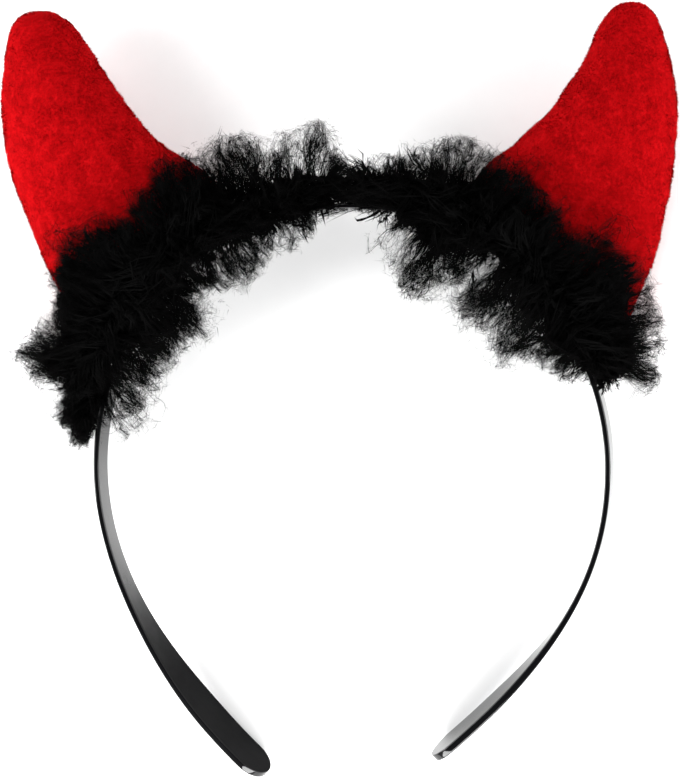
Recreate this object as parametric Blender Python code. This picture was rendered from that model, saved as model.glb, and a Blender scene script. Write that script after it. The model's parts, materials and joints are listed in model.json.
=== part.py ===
"""Devil horns headband: a plastic band, two stuffed plush horns and a run of feather trim.

Metres. The headpiece lies on its back as it rests by itself on a table: +X across the band,
+Y from the leg ends towards the horn tips, +Z up. The origin is the middle of its footprint.

Every piece is first shaped in the band's own plane, where (0, 0) is the centre of the half
circle over the head, y points to the horns and z to the wearer's front. lay_down() then tips
that plane by LEAN, so that the horns' backs and the leg ends touch the table together.
"""

import math
from typing import NamedTuple

import bmesh
import bpy
import numpy as np
from mathutils import Matrix, Vector

MM = 0.001
GAP = 0.3 * MM

# Headband: a moulded strip, narrow over the head and widening to rounded leg ends
BAND_RADIUS = 65.5 * MM
BAND_WIDTH = 9.0 * MM
BAND_THICKNESS = 1.2 * MM
END_WIDTH = 12.0 * MM
END_THICKNESS = 1.8 * MM
END_CANT = math.radians(12.0)
EDGE_ROUNDING = 0.45 * MM
EDGE_STEPS = 3
WIDENS_FROM = 0.35
WIDENS_TO = 0.80

# Resting pose
LEAN = math.radians(3.1)
BAND_CENTRE = Vector((5.0, -17.9, 9.95)) * MM

# Facets
ARC_STEPS = 40
LEG_STEPS = 18
TIP_STEPS = 5
HORN_RINGS = 22
HORN_SIDES = 28
TRIM_RINGS = 44
TRIM_SIDES = 22


class Leg(NamedTuple):
    """One leg of the band, a smooth curve from the end of the half circle to its tip, in mm."""

    side: int
    upper_pull: float
    tip_reach: float
    tip_drop: float
    lower_pull: float
    tip_slope: float


LEGS = (
    Leg(side=-1, upper_pull=33.0, tip_reach=21.0, tip_drop=78.5, lower_pull=22.0, tip_slope=41.0),
    Leg(side=1, upper_pull=28.0, tip_reach=21.5, tip_drop=73.0, lower_pull=40.0, tip_slope=41.0),
)


class HornSection(NamedTuple):
    """A section across a horn from its inner to its outer seam, in mm."""

    inner_x: float
    inner_y: float
    outer_x: float
    outer_y: float
    thickness: float


# Rows run from inside the band, where the base is cut to fit, to just short of the tip
HORN_LEFT = (
    HornSection(-27.0, 55.0, -59.0, 17.0, 24.0),
    HornSection(-30.5, 66.5, -69.5, 33.0, 26.0),
    HornSection(-37.0, 74.5, -78.5, 48.5, 27.0),
    HornSection(-44.5, 79.0, -84.0, 62.0, 27.0),
    HornSection(-51.0, 83.5, -88.5, 75.5, 26.0),
    HornSection(-57.0, 90.5, -91.0, 88.0, 24.5),
    HornSection(-62.5, 97.5, -90.5, 98.0, 22.0),
    HornSection(-67.0, 104.5, -89.5, 105.0, 19.0),
    HornSection(-70.5, 109.5, -88.0, 110.0, 15.5),
)
HORN_RIGHT = (
    HornSection(25.5, 56.0, 59.0, 17.0, 24.0),
    HornSection(29.0, 68.0, 68.5, 33.0, 26.0),
    HornSection(34.5, 76.0, 75.0, 49.5, 27.0),
    HornSection(41.0, 80.5, 78.5, 62.5, 27.0),
    HornSection(46.5, 85.5, 80.5, 75.5, 26.0),
    HornSection(52.0, 91.5, 81.0, 88.0, 24.0),
    HornSection(57.5, 99.0, 80.0, 98.5, 20.5),
    HornSection(60.5, 105.0, 78.5, 105.0, 17.0),
    HornSection(62.5, 109.5, 77.0, 109.5, 14.0),
)
CAP_HEIGHT = 5.5
CAP_START = math.radians(30.0)
CAP_RINGS = 5


class TrimStation(NamedTuple):
    """How far the fluff reaches from the band's centreline at one angle of the arc.

    The angle is in degrees, from the right end of the half circle; the reaches are in mm.
    """

    angle: float
    inner_reach: float
    outer_reach: float
    depth: float


TRIM = (
    TrimStation(16.5, 3.0, 5.0, 6.0),
    TrimStation(20.0, 7.5, 14.0, 11.0),
    TrimStation(28.0, 12.5, 20.0, 15.0),
    TrimStation(38.0, 16.5, 19.0, 18.0),
    TrimStation(50.0, 15.0, 17.0, 19.0),
    TrimStation(62.0, 15.5, 18.0, 18.0),
    TrimStation(72.0, 14.0, 18.5, 15.0),
    TrimStation(78.0, 8.0, 15.0, 12.0),
    TrimStation(83.0, 2.0, 11.5, 8.5),
    TrimStation(88.0, 0.3, 9.0, 7.0),
    TrimStation(92.0, 1.5, 11.5, 8.5),
    TrimStation(97.0, 5.0, 17.0, 11.5),
    TrimStation(103.0, 8.5, 19.5, 14.0),
    TrimStation(113.0, 11.0, 21.0, 17.0),
    TrimStation(125.0, 10.5, 19.0, 19.0),
    TrimStation(138.0, 13.0, 18.0, 19.0),
    TrimStation(150.0, 13.0, 22.0, 18.0),
    TrimStation(160.0, 11.0, 24.0, 16.0),
    TrimStation(168.0, 8.5, 15.0, 12.0),
    TrimStation(175.5, 3.0, 5.0, 6.0),
)


def clear_scene():
    """Remove every object that the opened file holds."""
    for old in list(bpy.data.objects):
        bpy.data.objects.remove(old, do_unlink=True)


def make_material(name, colour, roughness, sheen=0.0):
    """Return a Principled material of one colour."""
    material = bpy.data.materials.new(name)
    material.use_nodes = True
    shader = material.node_tree.nodes["Principled BSDF"]
    shader.inputs["Base Color"].default_value = (*colour, 1.0)
    shader.inputs["Roughness"].default_value = roughness
    shader.inputs["Metallic"].default_value = 0.0
    shader.inputs["Sheen Weight"].default_value = sheen
    return material


def ease(start, end, value):
    """Rise smoothly from 0 at start to 1 at end."""
    share = min(max((value - start) / (end - start), 0.0), 1.0)
    return share * share * (3.0 - 2.0 * share)


def smooth_rows(rows, count):
    """Pass a smooth curve through the rows of a table and read it at count even steps."""
    table = np.array(rows, dtype=float)
    before = 2.0 * table[0] - table[1]
    after = 2.0 * table[-1] - table[-2]
    padded = np.vstack([before, table, after])
    readings = []
    for place in np.linspace(0.0, len(table) - 1.0, count):
        row = min(int(place), len(table) - 2)
        t = place - row
        a, b, c, d = padded[row:row + 4]
        readings.append(
            0.5 * (2.0 * b + (c - a) * t + (2.0 * a - 5.0 * b + 4.0 * c - d) * t**2
                   + (3.0 * b - a - 3.0 * c + d) * t**3)
        )
    return readings


def bezier(points, t):
    """Return the point at t of a cubic Bezier curve."""
    a, b, c, d = points
    s = 1.0 - t
    return a * s**3 + b * (3.0 * s * s * t) + c * (3.0 * s * t * t) + d * t**3


def loft(name, rings, material):
    """Skin equal rings of points and close both ends with a face."""
    mesh = bpy.data.meshes.new(name)
    shape = bmesh.new()
    loops = [[shape.verts.new(point) for point in ring] for ring in rings]
    sides = len(rings[0])
    for near, far in zip(loops, loops[1:]):
        for i in range(sides):
            j = (i + 1) % sides
            shape.faces.new((near[i], near[j], far[j], far[i]))
    shape.faces.new(loops[0][::-1])
    shape.faces.new(loops[-1])
    bmesh.ops.recalc_face_normals(shape, faces=shape.faces)
    shape.to_mesh(mesh)
    shape.free()
    mesh.shade_smooth()
    mesh.set_sharp_from_angle(angle=math.radians(50.0))
    mesh.materials.append(material)
    piece = bpy.data.objects.new(name, mesh)
    bpy.context.collection.objects.link(piece)
    return piece


def hide_as_cutter(piece):
    """Keep a piece as a cutter only."""
    piece.hide_render = True
    piece.display_type = "WIRE"
    return piece


def cut(piece, cutter):
    """Take the cutter's shape out of a piece."""
    boolean = piece.modifiers.new(f"less {cutter.name}", "BOOLEAN")
    boolean.operation = "DIFFERENCE"
    boolean.solver = "EXACT"
    boolean.object = cutter


def leg_curve(leg):
    """Return the four Bezier points of a leg, from the half circle down to the tip."""
    start = Vector((leg.side * BAND_RADIUS, 0.0))
    tip = Vector((leg.side * leg.tip_reach, -leg.tip_drop)) * MM
    slope = math.radians(leg.tip_slope)
    rise = Vector((leg.side * math.cos(slope), math.sin(slope)))
    return (start, start - Vector((0.0, leg.upper_pull * MM)), tip + rise * leg.lower_pull * MM, tip)


def leg_stations(leg):
    """List (point, share of the leg, distance from the tip) down one leg, closer at the tip."""
    curve = leg_curve(leg)
    fine = [bezier(curve, k / 200.0) for k in range(201)]
    lengths = np.cumsum([0.0] + [(b - a).length for a, b in zip(fine, fine[1:])])
    total = lengths[-1]
    tip_radius = END_WIDTH / 2.0
    reaches = list(np.linspace(0.0, total - tip_radius, LEG_STEPS))[1:]
    for k in range(1, TIP_STEPS + 1):
        turn = 0.47 * math.pi * k / TIP_STEPS
        reaches.append(total - tip_radius + tip_radius * math.sin(turn))
    stations = []
    for reach in reaches:
        x = float(np.interp(reach, lengths, [p.x for p in fine]))
        y = float(np.interp(reach, lengths, [p.y for p in fine]))
        stations.append((Vector((x, y)), reach / total, total - reach))
    return stations


def band_stations():
    """List (point, share, distance from the tip) from the left tip over the top to the right."""
    left, right = (leg_stations(leg) for leg in LEGS)
    arc = []
    for k in range(ARC_STEPS + 1):
        angle = math.pi * (1.0 - k / ARC_STEPS)
        point = Vector((math.cos(angle), math.sin(angle))) * BAND_RADIUS
        arc.append((point, 0.0, BAND_RADIUS))
    return left[::-1] + arc + right


def strip_section(thickness, width):
    """Return the strip's rounded section as (across the thickness, across the width) pairs."""
    rounding = min(EDGE_ROUNDING, 0.45 * thickness, 0.45 * width)
    corners = ((1, 1, 0.0), (-1, 1, 90.0), (-1, -1, 180.0), (1, -1, 270.0))
    outline = []
    for side, face, start in corners:
        for step in range(EDGE_STEPS):
            turn = math.radians(start + 90.0 * step / (EDGE_STEPS - 1))
            outline.append((
                side * (thickness / 2.0 - rounding) + rounding * math.cos(turn),
                face * (width / 2.0 - rounding) + rounding * math.sin(turn),
            ))
    return outline


def band_rings(grow=0.0):
    """Return the strip's sections along the whole band, each grown outwards by grow."""
    stations = band_stations()
    rings = []
    for k, (point, share, from_tip) in enumerate(stations):
        before = stations[max(k - 1, 0)][0]
        after = stations[min(k + 1, len(stations) - 1)][0]
        along = (after - before).normalized()
        outward = Vector((-along.y, along.x, 0.0))
        widening = ease(WIDENS_FROM, WIDENS_TO, share)
        width = BAND_WIDTH + (END_WIDTH - BAND_WIDTH) * widening
        thickness = BAND_THICKNESS + (END_THICKNESS - BAND_THICKNESS) * ease(0.2, 0.9, share)
        tip_radius = END_WIDTH / 2.0
        if from_tip < tip_radius:
            width *= math.sqrt(1.0 - (1.0 - from_tip / tip_radius) ** 2)
        cant = END_CANT * ease(0.15, 0.8, share)
        front = Vector((0.0, 0.0, 1.0))
        face = outward * math.cos(cant) - front * math.sin(cant)
        edge = outward * math.sin(cant) + front * math.cos(cant)
        middle = Vector((point.x, point.y, 0.0))
        section = strip_section(thickness + 2.0 * grow, width + 2.0 * grow)
        rings.append([middle + face * a + edge * b for a, b in section])
    return rings


def horn_rings(sections, grow=0.0):
    """Return the rings of a horn, with a domed tip, each grown outwards by grow."""
    readings = smooth_rows(sections, HORN_RINGS)
    last, previous = readings[-1], readings[-2]
    middle = (last[0:2] + last[2:4]) / 2.0
    ahead = middle - (previous[0:2] + previous[2:4]) / 2.0
    ahead /= np.linalg.norm(ahead)
    across = (last[2:4] - last[0:2]) / 2.0
    for turn in np.linspace(CAP_START, math.radians(85.0), CAP_RINGS + 1)[1:]:
        height = (math.sin(turn) - math.sin(CAP_START)) / (1.0 - math.sin(CAP_START))
        shrink = math.cos(turn) / math.cos(CAP_START)
        centre = middle + ahead * CAP_HEIGHT * height
        half = across * shrink
        readings.append(np.array([*(centre - half), *(centre + half), last[4] * shrink]))
    rings = []
    for inner_x, inner_y, outer_x, outer_y, thickness in readings:
        inner = Vector((inner_x, inner_y, 0.0)) * MM
        outer = Vector((outer_x, outer_y, 0.0)) * MM
        centre = (inner + outer) / 2.0
        half = outer - centre
        half += half.normalized() * grow
        deep = thickness * MM / 2.0 + grow
        ring = []
        for k in range(HORN_SIDES):
            turn = 2.0 * math.pi * k / HORN_SIDES
            ring.append(centre + half * math.cos(turn) + Vector((0.0, 0.0, deep * math.sin(turn))))
        rings.append(ring)
    return rings


def make_band_disc(name, radius):
    """Make a thick disc inside the band, the cutter that gives a horn its curved base."""
    shape = bmesh.new()
    bmesh.ops.create_cone(
        shape, cap_ends=True, segments=180, radius1=radius, radius2=radius, depth=60.0 * MM
    )
    mesh = bpy.data.meshes.new(name)
    shape.to_mesh(mesh)
    shape.free()
    disc = bpy.data.objects.new(name, mesh)
    bpy.context.collection.objects.link(disc)
    return hide_as_cutter(disc)


def trim_rings():
    """Return the rings of the trim's outer form along the arc of the band."""
    rings = []
    for angle, inner_reach, outer_reach, depth in smooth_rows(TRIM, TRIM_RINGS):
        turn = math.radians(angle)
        outward = Vector((math.cos(turn), math.sin(turn), 0.0))
        middle = outward * (BAND_RADIUS + (outer_reach - inner_reach) / 2.0 * MM)
        half = (outer_reach + inner_reach) / 2.0 * MM
        ring = []
        for k in range(TRIM_SIDES):
            around = 2.0 * math.pi * k / TRIM_SIDES
            rise = Vector((0.0, 0.0, depth * MM * math.sin(around)))
            ring.append(middle + outward * half * math.cos(around) + rise)
        rings.append(ring)
    return rings


def make_table_block():
    """Make the cutter that flattens soft pieces where they lie on the table."""
    shape = bmesh.new()
    bmesh.ops.create_cube(shape, size=1.0)
    mesh = bpy.data.meshes.new("table_block")
    shape.to_mesh(mesh)
    shape.free()
    mesh.transform(Matrix.Translation((0.0, 0.0, -0.05)) @ Matrix.Diagonal((0.5, 0.5, 0.1, 1.0)))
    block = bpy.data.objects.new("table_block", mesh)
    bpy.context.collection.objects.link(block)
    return hide_as_cutter(block)


def lay_down(pieces):
    """Tip the band's plane by LEAN and set it down on the table."""
    pose = bpy.data.objects.new("resting_pose", None)
    pose.location = BAND_CENTRE
    pose.rotation_euler.x = LEAN
    bpy.context.collection.objects.link(pose)
    for piece in pieces:
        piece.parent = pose


def main():
    """Build the headpiece."""
    clear_scene()
    plastic = make_material("black_plastic", (0.008, 0.008, 0.009), 0.18)
    plush = make_material("red_plush", (0.52, 0.004, 0.008), 0.85, sheen=0.5)
    feather = make_material("black_marabou", (0.006, 0.006, 0.006), 0.7)

    outer_face = BAND_RADIUS + BAND_THICKNESS / 2.0
    headband = loft("headband", band_rings(), plastic)
    band_channel = hide_as_cutter(loft("band_channel", band_rings(GAP), plastic))
    base_disc = make_band_disc("base_disc", outer_face + GAP)
    socket_disc = make_band_disc("socket_disc", outer_face)
    table_block = make_table_block()
    trim = loft("feather_trim", trim_rings(), feather)
    cut(trim, band_channel)
    lying = [headband, band_channel, base_disc, socket_disc, trim]
    for side, sections in (("left", HORN_LEFT), ("right", HORN_RIGHT)):
        horn = loft(f"horn_{side}", horn_rings(sections), plush)
        cut(horn, base_disc)
        cut(horn, table_block)
        socket = hide_as_cutter(loft(f"socket_{side}", horn_rings(sections, GAP), plush))
        cut(socket, socket_disc)
        cut(trim, socket)
        lying += [horn, socket]
    cut(trim, table_block)
    lay_down(lying)


main()
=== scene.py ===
"""Devil horns headband: its looks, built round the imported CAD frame.

A glossy plastic band, two stuffed plush horns and a run of marabou trim lie on a pale table.
Sizes are millimetres in the band's own plane, as in the CAD: (0, 0) is the centre of the half
circle over the head, y points to the horns and z to the wearer's front. RestingPose turns such
points into the frame's metres.
"""

import json
import logging
import math
from dataclasses import dataclass, field
from enum import Enum

import bmesh
import bpy
import numpy as np
from mathutils import Matrix, Vector
from mathutils.bvhtree import BVHTree

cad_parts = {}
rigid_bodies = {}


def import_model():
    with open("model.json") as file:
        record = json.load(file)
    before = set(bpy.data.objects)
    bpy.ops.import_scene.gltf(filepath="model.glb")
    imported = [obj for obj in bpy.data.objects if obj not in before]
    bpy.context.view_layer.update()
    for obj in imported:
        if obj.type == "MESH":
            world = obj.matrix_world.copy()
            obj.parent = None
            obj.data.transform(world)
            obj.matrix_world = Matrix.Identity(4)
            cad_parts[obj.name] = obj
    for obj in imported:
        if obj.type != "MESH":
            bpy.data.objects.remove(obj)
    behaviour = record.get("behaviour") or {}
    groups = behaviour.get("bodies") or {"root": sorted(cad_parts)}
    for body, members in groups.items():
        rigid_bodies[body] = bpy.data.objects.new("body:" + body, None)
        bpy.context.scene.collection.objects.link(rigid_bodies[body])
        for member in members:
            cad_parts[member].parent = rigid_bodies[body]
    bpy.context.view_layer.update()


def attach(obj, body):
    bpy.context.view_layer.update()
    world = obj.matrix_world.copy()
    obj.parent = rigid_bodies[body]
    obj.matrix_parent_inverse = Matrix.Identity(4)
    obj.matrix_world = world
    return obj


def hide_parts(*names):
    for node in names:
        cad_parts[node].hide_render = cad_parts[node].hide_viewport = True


MM = 0.001
ROOT = "root"
log = logging.getLogger("headband")


class Side(Enum):
    """The two sides of the headpiece, as the camera sees them."""

    LEFT = -1
    RIGHT = 1


class Lie(Enum):
    """Which way a plume lies from its root: out from the band, or in towards the head."""

    OUTWARD = 1
    INWARD = -1


def linear(colour: str) -> tuple[float, float, float, float]:
    """Turn an sRGB hex colour into linear red, green, blue and alpha.

    Args:
        colour: The colour, such as "#c01020".

    Returns:
        The four linear values.
    """
    parts = [int(colour[i:i + 2], 16) / 255.0 for i in (1, 3, 5)]
    red, green, blue = (p / 12.92 if p <= 0.04045 else ((p + 0.055) / 1.055) ** 2.4 for p in parts)
    return (red, green, blue, 1.0)


def ease(start: float, end: float, value: float) -> float:
    """Rise smoothly from 0 at start to 1 at end.

    Args:
        start: Where the rise begins.
        end: Where it ends.
        value: Where it is read.

    Returns:
        A share from 0 to 1.
    """
    share = min(max((value - start) / (end - start), 0.0), 1.0)
    return share * share * (3.0 - 2.0 * share)


def feed_node(tree: bpy.types.NodeTree, node: bpy.types.Node, feeds: dict) -> None:
    """Feed the inputs of a node.

    Args:
        tree: The node tree.
        node: The node.
        feeds: What goes into each input, by its name or number: a node, whose first output is
            taken, an output socket, a plain value, or a list of sockets that all go into it.
    """
    for place, feed in feeds.items():
        if isinstance(feed, bpy.types.Node):
            feed = feed.outputs[0]
        if isinstance(feed, (bpy.types.NodeSocket, list)):
            for source in feed if isinstance(feed, list) else [feed]:
                tree.links.new(source, node.inputs[place])
        else:
            node.inputs[place].default_value = feed


def add_node(tree: bpy.types.NodeTree, kind: str, settings: dict | None = None,
             feeds: dict | None = None) -> bpy.types.Node:
    """Add a node with its settings and what feeds its inputs.

    Args:
        tree: The node tree.
        kind: Blender's name of the node type.
        settings: Properties of the node, by name.
        feeds: What goes into each input, as feed_node takes it.

    Returns:
        The new node.
    """
    node = tree.nodes.new(kind)
    for name, value in (settings or {}).items():
        setattr(node, name, value)
    feed_node(tree, node, feeds or {})
    return node


def start_material(name: str) -> tuple[bpy.types.Material, bpy.types.NodeTree, bpy.types.Node]:
    """Make a node material and return it with its tree and its Principled shader.

    Args:
        name: The material's name.

    Returns:
        The material, its node tree and the shader node.
    """
    material = bpy.data.materials.new(name)
    material.use_nodes = True
    tree = material.node_tree
    return material, tree, tree.nodes["Principled BSDF"]


def start_tree(name: str, sockets: dict[str, str]) -> tuple[bpy.types.NodeTree, bpy.types.Node]:
    """Start a geometry tree whose inputs are the geometry and the named sockets.

    Args:
        name: The tree's name.
        sockets: The type of each further input, by its name.

    Returns:
        The tree and its input node.
    """
    tree = bpy.data.node_groups.new(name, "GeometryNodeTree")
    tree.interface.new_socket(name="Geometry", in_out="OUTPUT", socket_type="NodeSocketGeometry")
    for label, kind in {"Geometry": "NodeSocketGeometry", **sockets}.items():
        tree.interface.new_socket(name=label, in_out="INPUT", socket_type=kind)
    return tree, tree.nodes.new("NodeGroupInput")


def end_tree(tree: bpy.types.NodeTree, geometry: bpy.types.Node, inputs: bpy.types.Node) -> None:
    """Close a geometry tree with Realize Instances and Set Material.

    Args:
        tree: The tree.
        geometry: The node that gives the finished shape.
        inputs: The tree's input node, which has a Material.
    """
    real = add_node(tree, "GeometryNodeRealizeInstances", feeds={0: geometry})
    dressed = add_node(tree, "GeometryNodeSetMaterial",
                       feeds={"Geometry": real, "Material": inputs.outputs["Material"]})
    add_node(tree, "NodeGroupOutput", feeds={0: dressed})


def put(name: str, data: bpy.types.ID) -> bpy.types.Object:
    """Put an object with this data in the scene, at the origin."""
    thing = bpy.data.objects.new(name, data)
    bpy.context.scene.collection.objects.link(thing)
    return thing


def new_piece(name: str, points: np.ndarray, faces: list | None = None, edges: list | None = None,
              **readings: np.ndarray) -> bpy.types.Object:
    """Make a mesh object at the origin, with readings stored on its points.

    Args:
        name: The object's name.
        points: The points, in metres.
        faces: The faces, as tuples of point numbers.
        edges: The edges, where there are no faces.
        readings: Values for each point: whole numbers, numbers or vectors.

    Returns:
        The object.
    """
    mesh = bpy.data.meshes.new(name)
    mesh.from_pydata(np.asarray(points, float).tolist(), edges or [], faces or [])
    for label, values in readings.items():
        values = np.asarray(values)
        kind = "FLOAT_VECTOR" if values.ndim == 2 else "INT" if values.dtype.kind == "i" else "FLOAT"
        stored = mesh.attributes.new(label, kind, "POINT")
        stored.data.foreach_set("vector" if values.ndim == 2 else "value", values.ravel())
    return put(name, mesh)


def bake(piece: bpy.types.Object) -> bpy.types.Object:
    """Turn a piece's live modifiers into its plain mesh.

    Args:
        piece: The piece.

    Returns:
        The same piece, with no modifier.
    """
    depsgraph = bpy.context.evaluated_depsgraph_get()
    shown = piece.evaluated_get(depsgraph)
    mesh = bpy.data.meshes.new_from_object(shown, preserve_all_data_layers=True, depsgraph=depsgraph)
    piece.modifiers.clear()
    piece.data = mesh
    mesh.name = piece.name
    return piece


def run_tree(piece: bpy.types.Object, tree: bpy.types.NodeTree, values: dict) -> bpy.types.Object:
    """Run a geometry tree on a piece and keep its result as a plain mesh.

    Args:
        piece: The piece.
        tree: The geometry tree.
        values: What goes into the tree's inputs, by name.

    Returns:
        The same piece.
    """
    modifier = piece.modifiers.new(tree.name, "NODES")
    modifier.node_group = tree
    for socket in tree.interface.items_tree:
        if socket.in_out == "INPUT" and socket.name in values:
            modifier[socket.identifier] = values[socket.name]
    return bake(piece)


def modify(piece: bpy.types.Object, kind: str, **settings: object) -> bpy.types.Object:
    """Apply one modifier to a piece.

    Args:
        piece: The piece.
        kind: Blender's name of the modifier type.
        settings: Properties of the modifier.

    Returns:
        The same piece.
    """
    modifier = piece.modifiers.new(kind.lower(), kind)
    for name, value in settings.items():
        setattr(modifier, name, value)
    return bake(piece)


def points_of(mesh: bpy.types.Mesh, what: str = "co") -> np.ndarray:
    """Read the points or the normals of a mesh.

    Args:
        mesh: The mesh.
        what: "co" for points, "normal" for normals.

    Returns:
        One row for each point.
    """
    flat = np.zeros(len(mesh.vertices) * 3)
    mesh.vertices.foreach_get(what, flat)
    return flat.reshape(-1, 3)


def set_points(mesh: bpy.types.Mesh, points: np.ndarray) -> None:
    """Move the points of a mesh."""
    mesh.vertices.foreach_set("co", points.ravel())
    mesh.update()


def face_outwards(mesh: bpy.types.Mesh) -> None:
    """Merge a closed mesh's doubles and turn its faces outwards."""
    shape = bmesh.new()
    shape.from_mesh(mesh)
    bmesh.ops.remove_doubles(shape, verts=shape.verts, dist=0.002 * MM)
    bmesh.ops.recalc_face_normals(shape, faces=shape.faces)
    shape.to_mesh(mesh)
    shape.free()
    mesh.update()


def joined(skins: list[bpy.types.Object]) -> bpy.types.Object:
    """Join copies of the horns' skins in one mesh.

    Args:
        skins: The skins.

    Returns:
        One object that holds both.
    """
    shape = bmesh.new()
    for skin in skins:
        shape.from_mesh(skin.data)
    mesh = bpy.data.meshes.new("horn_forms")
    shape.to_mesh(mesh)
    shape.free()
    return put("horn_forms", mesh)


def join_root(piece: bpy.types.Object, node: str) -> None:
    """Let a finished piece ride on the body, stand for a CAD node and log its triangles.

    Args:
        piece: The finished piece.
        node: The CAD node that it stands for.
    """
    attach(piece, ROOT)
    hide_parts(node)
    mesh = piece.data
    mesh.calc_loop_triangles()
    log.info("%s: %d triangles", piece.name, len(mesh.loop_triangles))


@dataclass(frozen=True)
class RestingPose:
    """How the band's own plane lies: tipped by lean, with its centre here."""

    lean: float = math.radians(3.1)
    centre: tuple[float, float, float] = (5.0, -17.9, 9.95)

    def turn(self) -> np.ndarray:
        """Return the tilt as a 3 by 3 matrix."""
        return np.array(Matrix.Rotation(self.lean, 3, "X"))

    def place(self, points: np.ndarray) -> np.ndarray:
        """Turn points of the band's plane, in mm, into the frame's metres."""
        return (np.asarray(points, float) @ self.turn().T + np.array(self.centre)) * MM

    def unplace(self, points: np.ndarray) -> np.ndarray:
        """Turn the frame's metres into points of the band's plane, in mm."""
        return (np.asarray(points, float) / MM - np.array(self.centre)) @ self.turn()


@dataclass(frozen=True)
class MouldedPolystyrene:
    """Black high-gloss polystyrene, injection moulded.

    The eye sees a near-black strip with thin highlights on its rounded edges. Its flats mirror
    the pale table at a grazing angle and show faint flow ripples and handling smears. The pad
    inside the left end is finely grained and stays dark.
    """

    colour: str = "#070708"
    ior: float = 1.59
    specular: float = 0.30
    grained_specular: float = 0.13
    gloss: float = 0.06
    smeared: float = 0.15
    grained: float = 0.90
    # The flow ripples of the moulding, their depth, and the smears of handling
    ripple_mm: float = 14.0
    ripple_depth: float = 0.12
    smear_mm: float = 5.0

    def make(self) -> bpy.types.Material:
        """Build the material."""
        material, tree, shader = start_material("injection_moulded_polystyrene")
        place = add_node(tree, "ShaderNodeTexCoord").outputs["Object"]
        smear = add_node(tree, "ShaderNodeTexNoise", feeds={
            "Vector": place, "Scale": 1.0 / (self.smear_mm * MM), "Detail": 5.0, "Roughness": 0.6})
        rough = add_node(tree, "ShaderNodeMapRange", feeds={
            "Value": smear, "From Min": 0.42, "From Max": 0.72,
            "To Min": self.gloss, "To Max": self.smeared})
        pad = add_node(tree, "ShaderNodeAttribute", {"attribute_name": "pad"}).outputs["Fac"]
        grain = add_node(tree, "ShaderNodeMath", {"operation": "MULTIPLY_ADD"}, {
            0: pad, 1: self.grained - self.gloss, 2: rough})
        ripple = add_node(tree, "ShaderNodeTexNoise", feeds={
            "Vector": place, "Scale": 1.0 / (self.ripple_mm * MM), "Detail": 1.0})
        bump = add_node(tree, "ShaderNodeBump", feeds={
            "Height": ripple, "Strength": 0.5, "Distance": self.ripple_depth * MM})
        shine = add_node(tree, "ShaderNodeMath", {"operation": "MULTIPLY_ADD"}, {
            0: pad, 1: self.grained_specular - self.specular, 2: self.specular})
        feed_node(tree, shader, {
            "Base Color": linear(self.colour), "IOR": self.ior, "Specular IOR Level": shine,
            "Roughness": grain, "Normal": bump})
        return material


@dataclass(frozen=True)
class VelourPlush:
    """Red polyester velour: a knitted backing with a short upright pile.

    The eye sees a saturated red without gloss. It is lighter where the pile is seen from its
    side, darker where it looks into the pile, and mottled where the nap has been stroked. The
    foot, inside the trim, is painted near black: painted shade for the trim's shade there.
    """

    deep: str = "#8c0407"
    mid: str = "#9c0509"
    lit: str = "#ab090e"
    fuzz: str = "#ff1a1e"
    # Painted shade: the near-black painted on the horn's foot inside the trim, where the trim's shade falls
    painted_shade: str = "#100203"
    specular: float = 0.02
    sheen: float = 0.35
    sheen_roughness: float = 0.35
    # The patches of stroked nap, and the tufts of the pile
    nap_mm: float = 3.2
    tuft_mm: float = 0.9

    def make(self, name: str) -> bpy.types.Material:
        """Build the material under the given name."""
        material, tree, shader = start_material(name)
        place = add_node(tree, "ShaderNodeTexCoord").outputs["Object"]
        nap = add_node(tree, "ShaderNodeTexNoise", feeds={
            "Vector": place, "Scale": 1.0 / (self.nap_mm * MM), "Detail": 3.0, "Roughness": 0.65,
            "Distortion": 0.8})
        tuft = add_node(tree, "ShaderNodeTexNoise", feeds={
            "Vector": place, "Scale": 1.0 / (self.tuft_mm * MM), "Detail": 2.0})
        mix = add_node(tree, "ShaderNodeMath", {"operation": "MULTIPLY_ADD"},
                       {0: tuft, 1: 0.55, 2: nap})
        ramp = add_node(tree, "ShaderNodeValToRGB", feeds={0: mix})
        ramp.color_ramp.elements[0].position = 0.60
        ramp.color_ramp.elements[0].color = linear(self.deep)
        ramp.color_ramp.elements[1].position = 0.98
        ramp.color_ramp.elements[1].color = linear(self.lit)
        ramp.color_ramp.elements.new(0.78).color = linear(self.mid)
        bump = add_node(tree, "ShaderNodeBump", feeds={
            "Height": tuft, "Strength": 0.6, "Distance": 0.3 * MM})
        # Painted shade: where the foot lies inside the trim, the red is mixed to near black as the trim's
        # shade
        foot = add_node(tree, "ShaderNodeAttribute", {"attribute_name": "foot"})
        shaded_red = add_node(tree, "ShaderNodeMix", {"data_type": "RGBA"}, {
            0: foot.outputs["Fac"], 6: ramp, 7: linear(self.painted_shade)})
        feed_node(tree, shader, {
            "Base Color": shaded_red.outputs[2], "Normal": bump, "Roughness": 1.0,
            "Specular IOR Level": self.specular, "Sheen Weight": self.sheen,
            "Sheen Roughness": self.sheen_roughness, "Sheen Tint": linear(self.fuzz)})
        return material


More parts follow.
